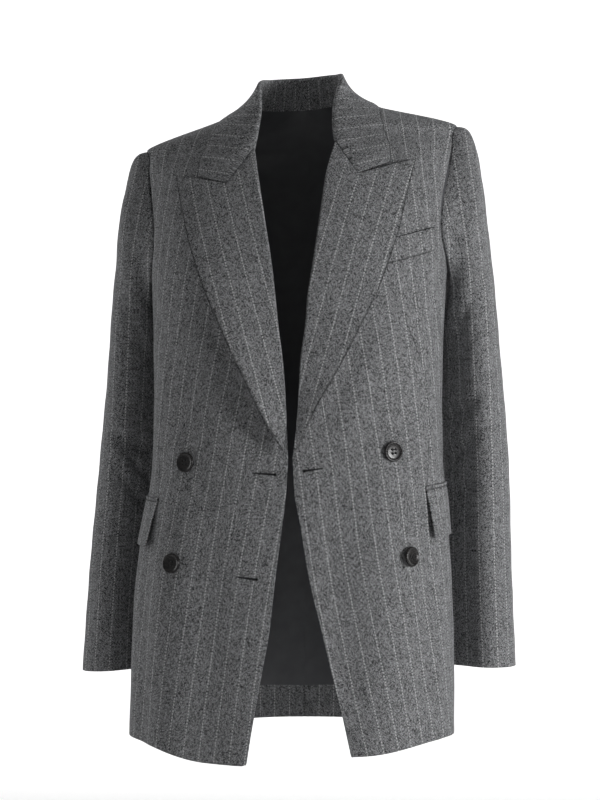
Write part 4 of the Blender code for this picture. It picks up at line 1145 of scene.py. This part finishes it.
COLLAR_TIP = (109, -79)
STAND_CELLS = 3 * FINE_ACROSS
END_SHARE = 0.22  # of the collar's rows over which its front ends ease out of the gorge's bend
COLLAR_FOLD = table("x y z", [(46, -72, -30), (45, -40, 2), (48.5, 2, 35), (37, 41, 42), (0, 57, 43)])
COLLAR_EDGE = table(
    "angle z arch",
    [(40.2, -46, 2.5), (47.5, -17.5, 0), (90, 2.5, -4.5), (134, -4, -3), (180, -5, -2)],
)
# How much further the collar's edge stands off than a pressed one.
COLLAR_STAND_OFF = table("station off", [(0, 3.0), (0.5, 5.0), (1.5, 2.5), (2.3, -2.4)])
COLLAR_CELLS = (10 * FINE_ACROSS, 8 * FINE_ACROSS)  # in front of the shoulder seam and behind it


def spread(points, cells):
    """The same line with another number of cells, even by station and not by length."""
    at, stations = np.linspace(0, len(points) - 1, cells + 1), np.arange(len(points))
    return np.stack([np.interp(at, stations, column) for column in points.T], axis=1)


def neck_edge(side):
    """The neck seam's points on the panels and the panels' normals there, front to centre back."""
    front = spread(front_domain(side)[0][-NECK_ROWS - 1 :, 0], COLLAR_CELLS[0])
    back = spread(back_domain(side)[-1, -BACK_NECK_CELLS - 1 :], COLLAR_CELLS[1])
    domain = np.vstack([front, back[1:]])
    return on_body(domain[:, 0], domain[:, 1], side), outward(domain[:, 0], domain[:, 1])


# Station numbers of the collar's rows: the front cells share 3 stations, the back cells 2.
STATION = [np.linspace(0, 3, COLLAR_CELLS[0] + 1), np.linspace(3, 5, COLLAR_CELLS[1] + 1)[1:]]
STATION = np.concatenate(STATION)

HALVES = {name: [] for name in ("fold", "neck", "neck_out", "free", "arch", "end", "end_up")}
for SIDE in SIDES:
    NECK, NECK_OUT = neck_edge(SIDE)
    GORGE = gorge_line(NECK[0, [0, 2]], COLLAR_TIP)
    SHARE = np.linspace(0, 1, LAPEL_CELLS + 1)
    PRESS = pressed_in(front_angle(*GORGE.T), GORGE[:, 1], SIDE)
    END = on_front(GORGE, SIDE, leaf_lift() + 2.5 * SHARE**1.5 + PRESS * SHARE)
    AWAY = END[1] - END[0]
    AWAY = unit(AWAY - np.dot(AWAY, NECK_OUT[0]) * NECK_OUT[0])
    START = NECK[0] + NECK_OUT[0] * (ROLL - 1) - AWAY * SEWN_OFF
    FOLD = np.vstack([START, points_of(COLLAR_FOLD, "xyz")])
    FOLD = spline(np.vstack([FOLD, FOLD[-2:-3:-1] * (-1, 1, 1)]), STATION)
    EDGE = points_of(COLLAR_EDGE, ("angle", "z", "arch"))
    EDGE = np.vstack([[front_angle(*COLLAR_TIP), COLLAR_TIP[1], 0], EDGE])
    EDGE = spline(np.vstack([EDGE, EDGE[-2] * (-1, 1, 1) + (360, 0, 0)]), STATION)
    OFF_BY = np.interp(STATION, COLLAR_STAND_OFF["station"], COLLAR_STAND_OFF["off"])
    FREE = on_body(EDGE[:, 0], EDGE[:, 1], SIDE, LAPEL_LIFT + OFF_BY)
    END_UP = outward(front_angle(*GORGE.T), GORGE[:, 1])
    for LIST, HALF in zip(HALVES.values(), (FOLD, NECK, NECK_OUT, FREE, EDGE[:, 2:], END, END_UP)):
        LIST.append(HALF * (SIDE, 1, 1) if HALF.shape[1] == 3 else HALF)
CENTRE, NECK, NECK_OUT, FREE, ARCH = [
    np.vstack([left, right[-2::-1]]) for left, right in list(HALVES.values())[:5]
]
FLOW = unit(np.gradient(CENTRE, axis=0))
AWAY = FREE - CENTRE
AWAY = unit(AWAY - np.sum(AWAY * FLOW, axis=1, keepdims=True) * FLOW)
RISE = unit(np.cross(AWAY, FLOW))
ENDS = []
for ROW, END, END_UP in zip((0, len(CENTRE) - 1), HALVES["end"], HALVES["end_up"]):
    FROM_ROW = np.abs(np.arange(len(CENTRE)) - ROW)
    FADE = np.clip(1 - FROM_ROW / (END_SHARE * len(CENTRE)), 0, 1)[:, None] ** 1.5
    AWAY = unit((1 - FADE) * AWAY + FADE * unit(END[1] - END[0]))
    RISE = (1 - FADE) * RISE + FADE * END_UP[0]
    ENDS.append((ROW, END, FADE))
RISE = unit(RISE - np.sum(RISE * AWAY, axis=1, keepdims=True) * AWAY)
TURNED = CENTRE[:, None] + ROLL * turn_normals(AWAY, RISE)
SHARE = np.linspace(0, 1, LAPEL_CELLS + 1)[None, :, None]
LEAF = (1 - SHARE) * TURNED[:, -1:] + SHARE * FREE[:, None]
LEAF = LEAF + 4 * SHARE * (1 - SHARE) * (ARCH * RISE)[:, None]
for ROW, END, FADE in ENDS:
    OFF = END - LEAF[ROW]
    OFF[0] = 0
    LEAF = LEAF + FADE[:, None] * OFF[None]
MID = np.concatenate([TURNED, LEAF[:, 1:]], axis=1)
NORMALS = grid_normal(MID)
NORMALS[:, : len(TURN)] = turn_normals(AWAY, RISE)
# The stripes cross the fall square to its length behind the neck. In front they are cut to rise
# outwards, by these degrees at the gorge and above it.
COLLAR_RISE = table("station left right", [(0, 14, 20), (0.5, 10.5, 14), (1.2, 6, 12), (2.0, 1, 9)])

HALF_WAY = MID[:, len(TURN) + LAPEL_CELLS // 2]
ACROSS = unit(LEAF[:, -1] - LEAF[:, 0])
FACING = unit(np.cross(ACROSS, np.gradient(HALF_WAY, axis=0)))
LEFT_HALF, RIGHT_HALF = slice(0, len(STATION)), slice(len(STATION) - 1, None)
for SIDE, ROWS, STATIONS in ((1, LEFT_HALF, STATION), (-1, RIGHT_HALF, STATION[::-1])):
    SLOPE = np.radians(np.interp(STATIONS, COLLAR_RISE["station"], COLLAR_RISE[SIDES[SIDE]]))
    RISING = np.stack([SIDE * np.cos(SLOPE), 0 * SLOPE, np.sin(SLOPE)], axis=1)
    TOWARDS = np.abs(FACING[ROWS, 1]).clip(0.4) * np.sign(FACING[ROWS, 1])
    RISING[:, 1] = -np.sum(RISING * FACING[ROWS], axis=1) / TOWARDS
    RISING = unit(RISING)
    SHARE = np.clip((3.8 - STATIONS) / 2.2, 0, 1)[:, None]
    SHARE = SHARE * SHARE * (3 - 2 * SHARE)
    ACROSS[ROWS] = unit((1 - SHARE) * ACROSS[ROWS] + SHARE * RISING)
FLOW = np.gradient(HALF_WAY, axis=0)
FLOW = unit(FLOW - np.sum(FLOW * ACROSS, axis=1, keepdims=True) * ACROSS)
STEP = np.sum(np.diff(HALF_WAY, axis=0) * (FLOW[1:] + FLOW[:-1]) / 2, axis=1)
LENGTH_ROUND = np.concatenate([[0], np.cumsum(STEP)])
OFF = MID - HALF_WAY[:, None]
AWAY_BY = np.sum(OFF * ACROSS[:, None], axis=2)
BESIDE = np.sum((OFF - AWAY_BY[..., None] * ACROSS[:, None]) * FLOW[:, None], axis=2)
AWAY_BY[:, : len(TURN)] = AWAY_BY[:, len(TURN) - 1, None] - TO_TURN
BESIDE[:, : len(TURN)] = BESIDE[:, len(TURN) - 1, None]
CUT = np.stack([LENGTH_ROUND[:, None] - LENGTH_ROUND[-1] / 2 + CHEVRON + BESIDE, AWAY_BY], axis=-1)
STACK = finer_at(np.concatenate([MID, NORMALS, CUT], axis=2), ("low", "top", "right"))
MID, NORMALS, CUT = np.split(STACK, (3, 6), axis=2)
leaf_piece("collar", inset(MID, ("low", "top")), NORMALS, 1, CUT, ("low", "top", "right"))

# The stand ends short of the lapels, and rises from the neck seam into the fold.
KEEP = slice(2 * FINE_ACROSS, len(NECK) - 2 * FINE_ACROSS)
ONWARD = into_opening(NECK, NECK_OUT, np.array([0, NECK[:, 1].mean(), NECK[:, 2].max()]))
STAND_TOP = TURNED[:, 0] + AWAY * SEAM
SHARE = np.linspace(0, 1, STAND_CELLS + 1)[None, :, None]
FACES = []
for LIFT, FOOT in ((CLOTH / 2, NECK), (-CLOTH / 2, NECK - NECK_OUT * CLOTH)):
    HEAD, FOOT = (STAND_TOP + RISE * LIFT)[:, None], (FOOT + ONWARD * SEAM)[:, None]
    FACES.append(((1 - SHARE) * HEAD + SHARE * FOOT)[KEEP])
DOWN = np.linalg.norm(FACES[0] - FACES[0][:, :1], axis=2)
CUT = np.stack([LENGTH_ROUND[KEEP, None] + 0 * DOWN, DOWN], axis=-1)
state_cut(cloth_piece("collar_stand", *FACES, 1, CUT, inside=WOOL), CUT)

# ---------------------------------------------------------------- chest welt
# A slanted welt of the same wool over the mouth of the breast pocket, on the wearer's left. It is
# folded along its top, sewn down along its foot and ends, and cut so that its stripes match.

POCKET_CLOTH = 1.4
WELT = table("corner x z", [(1, 80, -172), (2, 159.5, -152.5), (3, 160, -179.5), (4, 80, -199)])
WELT_SIZE = (82, 27)


def spaced(length, cells, corner):
    """Places along a length, with five cells of their own in the corner at each end."""
    ends = np.linspace(0, corner, 6)[:-1]
    return np.concatenate([ends, np.linspace(corner, length - corner, cells + 1), length - ends[::-1]])


def patch(corners, size, cells, corner, rounded=False):
    """A grid of (angle, z) between corners low front, low rear, top front and top rear.

    size is its width and height in millimetres; also gives each point's place in them.
    """
    a, b = np.meshgrid(spaced(size[0], cells[0], corner), spaced(size[1], cells[1], corner))
    if rounded:
        # Each low corner's little square is pulled in to a quarter of a disc.
        end = np.minimum(a, size[0] - a)
        s, t = np.clip(1 - end / corner, 0, 1), np.clip(1 - b / corner, 0, 1)
        pull = 1 - np.maximum(s, t) / np.maximum(np.hypot(s, t), 1e-9)
        a, b = a + np.where(a < size[0] / 2, 1, -1) * s * pull * corner, b + t * pull * corner
    u, v = (a / size[0])[..., None], (b / size[1])[..., None]
    low_front, low_rear, top_front, top_rear = np.array(corners, float)
    low, top = (1 - u) * low_front + u * low_rear, (1 - u) * top_front + u * top_rear
    return (1 - v) * low + v * top, a, b


def lying_piece(name, domain, side, lift, near, inside=LINING):
    """A piece that lies on a panel, from its grid and the height of its face."""
    outer = on_body(domain[..., 0], domain[..., 1], side, lift)
    inner = on_body(domain[..., 0], domain[..., 1], side, np.maximum(lift - POCKET_CLOTH, 0.25))
    cut = front_cut(domain[..., 0], domain[..., 1], side)
    piece = cloth_piece(name, outer, inner, side, cut, inside=inside, seam=near)
    state_cut(piece, cut)


PLACES = {int(k): (front_angle(x, z), z) for k, x, z in zip(*WELT.values())}
CORNERS = [PLACES[k] for k in (4, 3, 1, 2)]
GRID, FROM_FRONT, FROM_FOOT = patch(CORNERS, WELT_SIZE, (30, 8), 2.5)
FROM_END = np.minimum(FROM_FRONT, WELT_SIZE[0] - FROM_FRONT)
LIFT = 2.3 + 0.5 * FROM_FOOT / WELT_SIZE[1] - dip(FROM_FOOT, 1.4, 1.8) - dip(FROM_END, 1.0, 1.5)
# Along its foot and ends the colour is painted darker, as shade at the seam.
lying_piece("breast_welt", GRID, 1, LIFT, np.minimum(FROM_FOOT, FROM_END) * 0.4, inside=WOOL)


def fine_finish(name, dark, pale, grain, roughness, specular=0.5):
    """A small part's material: two close colours in a grain of so many millimetres, and its relief."""
    made, nodes, shader = new_material(name)
    place = add_node(nodes, "TexCoord", out="Object")
    speck = add_node(nodes, "TexNoise", {"Vector": place, "Scale": 1 / (grain * MM), "Detail": 3.0})
    colours = {0: speck, 6: srgb(dark), 7: srgb(pale)}
    colour = add_node(nodes, "Mix", colours, out=2, data_type="RGBA")
    bump = add_node(nodes, "Bump", {"Height": speck, "Strength": 0.3, "Distance": 0.1 * MM})
    nodes.id_data.links.new(colour, shader.inputs["Base Color"])
    nodes.id_data.links.new(bump, shader.inputs["Normal"])
    shader.inputs["Roughness"].default_value = roughness
    shader.inputs["Specular IOR Level"].default_value = specular
    return made


# Painted shade for the depth of a slit or a pocket's mouth: a near-black finish put in place of the
# shade where next to no light comes back out of the cut wool and canvas.
SLIT_SHADE = fine_finish("painted shade of a slit", "#060607", "#131314", 0.6, 0.95, 0.1)


def joined(name, shapes, materials):
    """One object from shapes, each its points in metres, its faces and its material's number."""
    points = np.concatenate([shape[0] for shape in shapes])
    starts = np.cumsum([0] + [len(shape[0]) for shape in shapes])
    faces = [[start + k for k in face] for start, shape in zip(starts, shapes) for face in shape[1]]
    finish = [shape[2] for shape in shapes for face in shape[1]]
    mesh = bpy.data.meshes.new(name)
    mesh.from_pydata(points.tolist(), [], faces)
    for each in materials:
        mesh.materials.append(each)
    mesh.polygons.foreach_set("material_index", finish)
    mesh.shade_smooth()
    mesh.set_sharp_from_angle(angle=math.radians(50))
    piece = bpy.data.objects.new(name, mesh)
    bpy.context.scene.collection.objects.link(piece)
    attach(piece, "root")
    return piece


# A strip painted as shade stands for the pocket's mouth: a dark line along the welt's folded top,
# thin at its two ends.
RUN = np.linspace(0.02, 0.985, 40)[:, None]
MOUTH = (1 - RUN) * PLACES[1] + RUN * PLACES[2]
HEIGHT = 1.3 * np.sin(np.pi * np.clip(RUN[:, 0], 0.04, 0.96)) ** 0.3
LOWER, UPPER = [on_body(MOUTH[:, 0], MOUTH[:, 1] + rise, 1, 0.3) for rise in (-1.2, HEIGHT)]
QUADS = [[k, k + 1, k + len(RUN) + 1, k + len(RUN)] for k in range(len(RUN) - 1)]
STRIP = (hang(np.vstack([LOWER, UPPER]), 1), QUADS, 0)
joined("breast_pocket_mouth_shade", [STRIP], (SLIT_SHADE,))

# ---------------------------------------------------------------- side pockets
# Flap pockets at the hips: a narrow piped jet over a faced flap that hangs from under it, with its
# low corners rounded. The flap stands off where the hip swells, most at its front end.

FLAP_LENGTH_ANGLE = 44
FLAP_FRONT = table("z x", [(-450, 154), (-503, 162)])
FLAP_REAR_RISE = 4
FLAP_SIZE = (142, 53)
JET_TOP = 5  # above the flap's top
JET_HEIGHT = 4.4
FLAP_STAND = table("share stand", [(0, 6.5), (0.1, 5.2), (0.4, 1.8), (0.8, 1.6), (1, 2.8)])

for SIDE, NAME in SIDES.items():
    FRONT_END = [np.array([front_angle(x, z), z]) for z, x in zip(*FLAP_FRONT.values())]
    REAR_END = [place + (FLAP_LENGTH_ANGLE, FLAP_REAR_RISE) for place in FRONT_END]
    CORNERS = (FRONT_END[1], REAR_END[1], FRONT_END[0], REAR_END[0])
    GRID, FROM_FRONT, FROM_LOW = patch(CORNERS, FLAP_SIZE, (40, 14), 4.0, rounded=True)
    FALL = 1 - FROM_LOW / FLAP_SIZE[1]
    FROM_TOP = FLAP_SIZE[1] - FROM_LOW
    STAND = smooth(FLAP_STAND, "share", "stand", FROM_FRONT / FLAP_SIZE[0])
    LIFT = 1.7 + STAND * FALL**0.9 - dip(FROM_TOP, 0.5, 2)
    # The flap's colour is painted darker along its top, as the shade in the slit under the jet.
    lying_piece("pocket_flap_" + NAME, GRID, SIDE, LIFT, FROM_TOP + 0.3)
    CORNERS = [CORNERS[k] + (0, rise) for rise in (SEAM * 2, JET_TOP) for k in (2, 3)]
    GRID, FROM_FRONT, FROM_LOW = patch(CORNERS, (FLAP_SIZE[0], JET_HEIGHT), (40, 2), 1.4)
    FROM_END = np.minimum(FROM_FRONT, FLAP_SIZE[0] - FROM_FRONT)
    LIFT = 0.7 + 1.5 * (1 - (FROM_LOW * 2 / JET_HEIGHT - 1) ** 4) - dip(FROM_END, 0.6, 1.2)
    # The jet's colour is painted darker all round its edges, as the shade in the slits beside it.
    NEAR = np.minimum(np.minimum(FROM_LOW, JET_HEIGHT - FROM_LOW), FROM_END) + 0.35
    lying_piece("pocket_jet_" + NAME, GRID, SIDE, LIFT, NEAR, inside=WOOL)

# ---------------------------------------------------------------- buttonholes
# Keyhole buttonholes, two on the wearer's right and one on the left, worked in dark silk twist: an
# eyelet towards the front edge, close purl stitches round the slit and a bar across its far end.

BUTTONHOLES = table(
    "side x_eye z_eye x_end z_end",
    [(-1, 13.6, -423.6, 37.3, -420.7), (-1, 29.6, -541.2, 52.6, -538), (1, 16.6, -421.2, 38.6, -419)],
)
EYELET = 1.3  # radius
SLIT = (0.85, 0.2)  # half its width at the eyelet and at the far end
STITCH = 0.75  # from one purl to the next
TACK = 1.1  # half the length of the bar across the far end

# Silk buttonhole twist: near black, a tight round thread with a low soft shine.
TWIST = fine_finish("silk buttonhole twist", "#0f1012", "#232528", 0.35, 0.55)


def cord(line, radius, up, closed=False, sides=8):
    """A round cord along a line, as points and quads; its radius may change along it."""
    if closed:
        ahead = unit(np.roll(line, -1, axis=0) - np.roll(line, 1, axis=0))
    else:
        ahead = unit(np.gradient(line, axis=0))
    beside = unit(np.cross(ahead, up))
    above = np.cross(beside, ahead)
    turn = np.linspace(0, 2 * np.pi, sides, endpoint=False)[None, :, None]
    spoke = np.cos(turn) * beside[:, None] + np.sin(turn) * above[:, None]
    points = line[:, None] + np.reshape(radius, (-1, 1, 1)) * spoke
    index = np.arange(len(line) * sides).reshape(len(line), sides)
    if closed:
        index = np.vstack([index, index[:1]])
    beyond = np.roll(index, -1, axis=1)
    quads = np.stack([index[:-1], index[1:], beyond[1:], beyond[:-1]], axis=-1).reshape(-1, 4).tolist()
    if not closed:
        quads += [index[0].tolist(), index[-1, ::-1].tolist()]
    return points.reshape(-1, 3), quads


for K, HOLE in enumerate(row for SIDE in SIDES for row in rows_of(BUTTONHOLES, SIDE)):
    SIDE = int(HOLE["side"])
    EYE, END = np.array([HOLE["x_eye"], HOLE["z_eye"]]), np.array([HOLE["x_end"], HOLE["z_end"]])
    LENGTH = np.linalg.norm(END - EYE)
    NECK_TURN = math.asin(SLIT[0] / EYELET)
    TURNS = np.linspace(NECK_TURN, 2 * np.pi - NECK_TURN, 40)
    OUTLINE = np.vstack(
        [
            [(LENGTH, 0), (LENGTH - 0.1, SLIT[1])],
            EYELET * np.stack([np.cos(TURNS), np.sin(TURNS)], axis=1) + (EYELET, 0),
            [(LENGTH - 0.1, -SLIT[1]), (LENGTH, 0)],
        ]
    )
    OUTLINE = evenly(OUTLINE, 330)[:-1]
    AHEAD = (END - EYE) / LENGTH
    BESIDE = (-AHEAD[1], AHEAD[0])
    PLANE = EYE + OUTLINE[:, :1] * AHEAD + OUTLINE[:, 1:] * BESIDE
    OUT = np.linspace(0, 2 * LENGTH + 2 * np.pi * EYELET, len(PLANE))
    PURL = 0.42 + 0.16 * np.abs(np.sin(np.pi * OUT / STITCH))
    LINE = hang(on_front(PLANE, SIDE, 0.5), SIDE)
    BAR = EYE + (LENGTH - 0.3) * AHEAD + np.linspace(-TACK, TACK, 9)[:, None] * BESIDE
    BAR = hang(on_front(BAR, SIDE, 0.5), SIDE)
    SHAPES = [
        (*cord(LINE, PURL * MM, (0, -1, 0), closed=True), 0),
        (*cord(BAR, 0.45 * MM, (0, -1, 0)), 0),
        # The slit itself is a flat sheet painted as shade.
        (hang(on_front(PLANE, SIDE, 0.22), SIDE), [list(range(len(PLANE)))[::SIDE]], 1),
    ]
    joined(f"buttonhole_{K + 1}", SHAPES, (TWIST, SLIT_SHADE))

# ---------------------------------------------------------------- buttons
# Two rows of buttons turned from dark horn, with a raised rim and a dished middle. Each is sewn on
# through four holes with two bars of dark thread, over a short thread shank.

BUTTONS = table(
    "side row x z spin yaw",
    [
        (1, 1, 116, -404.5, 4, 0),
        (-1, 1, 119, -404.5, 10, 0),
        (1, 2, 138.5, -521.5, 78, 13),
        (-1, 2, 128.5, -522, -6, 0),
    ],
)
BUTTON_PROFILE = table(
    "radius height",
    [
        (9.4, 0), (10.5, 0.15), (11.2, 0.6), (11.5, 1.3), (11.5, 2.2), (11.35, 2.8), (10.9, 3.25),
        (10.2, 3.4), (9.6, 3.3), (9.1, 2.95), (8.6, 2.62), (7.8, 2.42), (6.8, 2.3), (5.6, 2.22),
    ],
)
QUARTER = 18  # sides of the button in a quarter turn
SHANK = 0.9  # how far a button's back stands off the cloth
HOLE_PLACE = 2.1  # of each hole's middle, out from the button's both ways
HOLE_PROFILE = table("radius height", [(1.6, 2.2), (1.15, 2.16), (1.0, 2.05), (0.95, 1.8), (0.95, 0.5)])

# Polished natural horn: near black brown with a few paler streaks under a soft gloss.
STREAKS = (90, 90, 620)  # in a metre: one each 11 mm across the button, and each 1.6 mm through it


def horn(name):
    made, nodes, shader = new_material(name)
    place = add_node(nodes, "TexCoord", out="Object")
    place = add_node(nodes, "VectorMath", {0: place, 1: STREAKS}, operation="MULTIPLY")
    streaks = {"Vector": place, "Scale": 1.0, "Detail": 5.0, "Distortion": 0.8}
    streak = add_node(nodes, "TexNoise", streaks)
    streak = add_node(nodes, "MapRange", {0: streak, 1: 0.42, 2: 0.72})
    colours = {0: streak, 6: srgb("#131213"), 7: srgb("#343130")}
    colour = add_node(nodes, "Mix", colours, out=2, data_type="RGBA")
    nodes.id_data.links.new(colour, shader.inputs["Base Color"])
    shader.inputs["Roughness"].default_value = 0.26
    shader.inputs["Specular IOR Level"].default_value = 0.4
    shader.inputs["IOR"].default_value = 1.54
    return made


HORN = horn("polished dark horn")


def rings_joined(index):
    """Quads between rings of points, from a table of their numbers."""
    beyond = np.roll(index, -1, axis=1)
    return np.stack([index[:-1], beyond[:-1], beyond[1:], index[1:]], axis=-1).reshape(-1, 4).tolist()


def button_shapes():
    """The button's horn and thread, lying on its back at the origin, in millimetres."""
    turn = np.linspace(0, 2 * np.pi, 4 * QUARTER, endpoint=False)
    circle = np.stack([np.cos(turn), np.sin(turn), 0 * turn], axis=1)
    rings = np.array([circle * r + (0, 0, h) for r, h in zip(*BUTTON_PROFILE.values())])
    index = np.arange(len(rings) * 4 * QUARTER).reshape(len(rings), -1)
    faces = [*rings_joined(index), index[0, ::-1].tolist()]
    points = [rings.reshape(-1, 3)]
    # Each quarter of the middle runs from its own border in to its hole, and down the hole.
    reach = BUTTON_PROFILE["radius"][-1]
    arc = np.linspace(0, np.pi / 2, QUARTER + 1)
    spoke = np.linspace(0, reach, 6)[:-1]
    round_by = reach * np.stack([np.cos(arc), np.sin(arc)], axis=1)
    inward = np.stack([0 * spoke, spoke], axis=1)[:0:-1]
    border = np.vstack([np.stack([spoke, 0 * spoke], axis=1), round_by, inward])
    heading = unit(border - HOLE_PLACE)
    level = BUTTON_PROFILE["height"][-1]
    runs = [np.column_stack([border, np.full(len(border), level)])]
    for r, h in zip(*HOLE_PROFILE.values()):
        runs.append(np.column_stack([HOLE_PLACE + r * heading, np.full(len(border), h)]))
    for k in range(4):
        c, s = round(math.cos(k * math.pi / 2)), round(math.sin(k * math.pi / 2))
        start = sum(len(each) for each in points)
        points.append(np.concatenate(runs) @ np.array([[c, s, 0], [-s, c, 0], [0, 0, 1]]))
        index = start + np.arange(len(runs) * len(border)).reshape(len(runs), -1)
        faces += [*rings_joined(index), index[-1].tolist()]
    points, same = np.unique(np.round(np.concatenate(points), 4), axis=0, return_inverse=True)
    shapes = [(points, [[int(same.ravel()[k]) for k in face] for face in faces], 0)]
    for y in (-HOLE_PLACE, HOLE_PLACE):
        for strand in (-0.42, 0, 0.42):
            x = np.linspace(-HOLE_PLACE, HOLE_PLACE, 15)
            z = 2.5 - 1.6 * np.abs(x / HOLE_PLACE) ** 8
            shapes.append((*cord(np.stack([x, 0 * x + y + strand, z], axis=1), 0.26, (0, 0, 1)), 1))
    shank = np.array([(0, 0, -2.2), (0, 0, -1.2), (0, 0, 0.2)])
    shapes.append((*cord(shank, np.array([2.4, 2.0, 2.2]), (0, 1, 0), sides=20), 1))
    return shapes


for SIDE, NAME in SIDES.items():
    for BUTTON in rows_of(BUTTONS, SIDE):
        Z = BUTTON["z"]
        ANGLE = float(front_angle(BUTTON["x"], Z))
        # A button that is turned aside stands off a little more.
        SEAT = hang(on_body(ANGLE, Z, SIDE, SHANK + 0.1 * BUTTON["yaw"]), SIDE)
        ACROSS = hang(on_body(ANGLE + 2, Z, SIDE), SIDE) - hang(on_body(ANGLE - 2, Z, SIDE), SIDE)
        RISE = hang(on_body(ANGLE, Z + 5, SIDE), SIDE) - hang(on_body(ANGLE, Z - 5, SIDE), SIDE)
        FACES_TO = Vector(np.cross(ACROSS, RISE) * SIDE)
        FACES_TO.rotate(Matrix.Rotation(math.radians(BUTTON["yaw"]), 3, "Z"))
        SPIN = Matrix.Rotation(math.radians(BUTTON["spin"]), 3, "Z")
        TURN_BY = np.array(FACES_TO.to_track_quat("Z", "Y").to_matrix() @ SPIN).T
        SHAPES = [(points * MM @ TURN_BY + SEAT, faces, k) for points, faces, k in button_shapes()]
        NODE = ("button_upper_" if BUTTON["row"] == 1 else "button_lower_") + NAME
        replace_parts(joined(NODE, SHAPES, (HORN, TWIST)), NODE)

# ---------------------------------------------------------------- studio
# A pale painted floor that sweeps up behind to a lit wall, in a pale room. A soft key light stands
# in front at the wearer's left, and a broad weak one fills from the right.

FLOOR_Z, WALL_Y, WALL_TOP, BEND = -1.35, 6.5, 7.0, 2.6  # metres
HALF_WIDTH = 10.0

STUDIO_WHITE, PAINT, SHADER = new_material("matt studio paint")
# The paint glows from the floor's far part on, as a wall with its own lights behind the object does.
DEPTH = add_node(PAINT, "SeparateXYZ", {0: add_node(PAINT, "TexCoord", out="Object")}, out=1)
GLOW = {0: DEPTH, 1: 1.5, 2: 5.5, 3: 0.0, 4: 0.85}
GLOW = add_node(PAINT, "MapRange", GLOW, interpolation_type="SMOOTHSTEP")
STUDIO_WHITE.node_tree.links.new(GLOW, SHADER.inputs["Emission Strength"])
SHADER.inputs["Base Color"].default_value = srgb("#efefef")
SHADER.inputs["Roughness"].default_value = 0.95
SHADER.inputs["Emission Color"].default_value = srgb("#ffffff")
CURVE = np.linspace(0.1, math.pi / 2, 14)
PROFILE = [(-9.0, FLOOR_Z), (WALL_Y - BEND, FLOOR_Z)]
PROFILE += [(WALL_Y - BEND + BEND * math.sin(t), FLOOR_Z + BEND - BEND * math.cos(t)) for t in CURVE]
PROFILE += [(WALL_Y, WALL_TOP)]
MESH = bpy.data.meshes.new("studio_sweep")
POINTS = [(x, y, z) for y, z in PROFILE for x in (-HALF_WIDTH, HALF_WIDTH)]
MESH.from_pydata(POINTS, [], [(2 * i, 2 * i + 1, 2 * i + 3, 2 * i + 2) for i in range(len(PROFILE) - 1)])
MESH.materials.append(STUDIO_WHITE)
MESH.shade_smooth()
SWEEP = bpy.data.objects.new("studio_sweep", MESH)
bpy.context.scene.collection.objects.link(SWEEP)


def area_light(name, place, aim, size, power):
    """A soft rectangular studio light that looks from its place at a point."""
    light = bpy.data.lights.new(name, "AREA")
    light.shape = "RECTANGLE"
    light.size, light.size_y = size
    light.energy = power
    lamp = bpy.data.objects.new(name, light)
    lamp.location = place
    lamp.rotation_euler = (Vector(aim) - Vector(place)).to_track_quat("-Z", "Y").to_euler()
    bpy.context.scene.collection.objects.link(lamp)


MIDDLE = (0, 0, -0.35)  # of the blazer
area_light("soft_key", (3.15, -1.6, -0.1), MIDDLE, (0.7, 1.0), 64)
area_light("side_fill", (-3.35, 0.5, 0.1), MIDDLE, (1.6, 2.0), 20)

WORLD = bpy.data.worlds.new("white room")
WORLD.use_nodes = True
WORLD.node_tree.nodes["Background"].inputs["Color"].default_value = srgb("#ffffff")
WORLD.node_tree.nodes["Background"].inputs["Strength"].default_value = 0.2
bpy.context.scene.world = WORLD
bpy.context.scene.view_settings.view_transform = "Standard"

CAMERA = bpy.data.cameras.new("camera")
CAMERA.sensor_width = 36
CAMERA.lens = 122.03
VIEWPOINT = bpy.data.objects.new("camera", CAMERA)
VIEWPOINT.location = (0.28240, -3.18752, -0.340)
VIEWPOINT.rotation_euler = (math.radians(90), 0, math.radians(5))
bpy.context.scene.collection.objects.link(VIEWPOINT)
bpy.context.scene.camera = VIEWPOINT
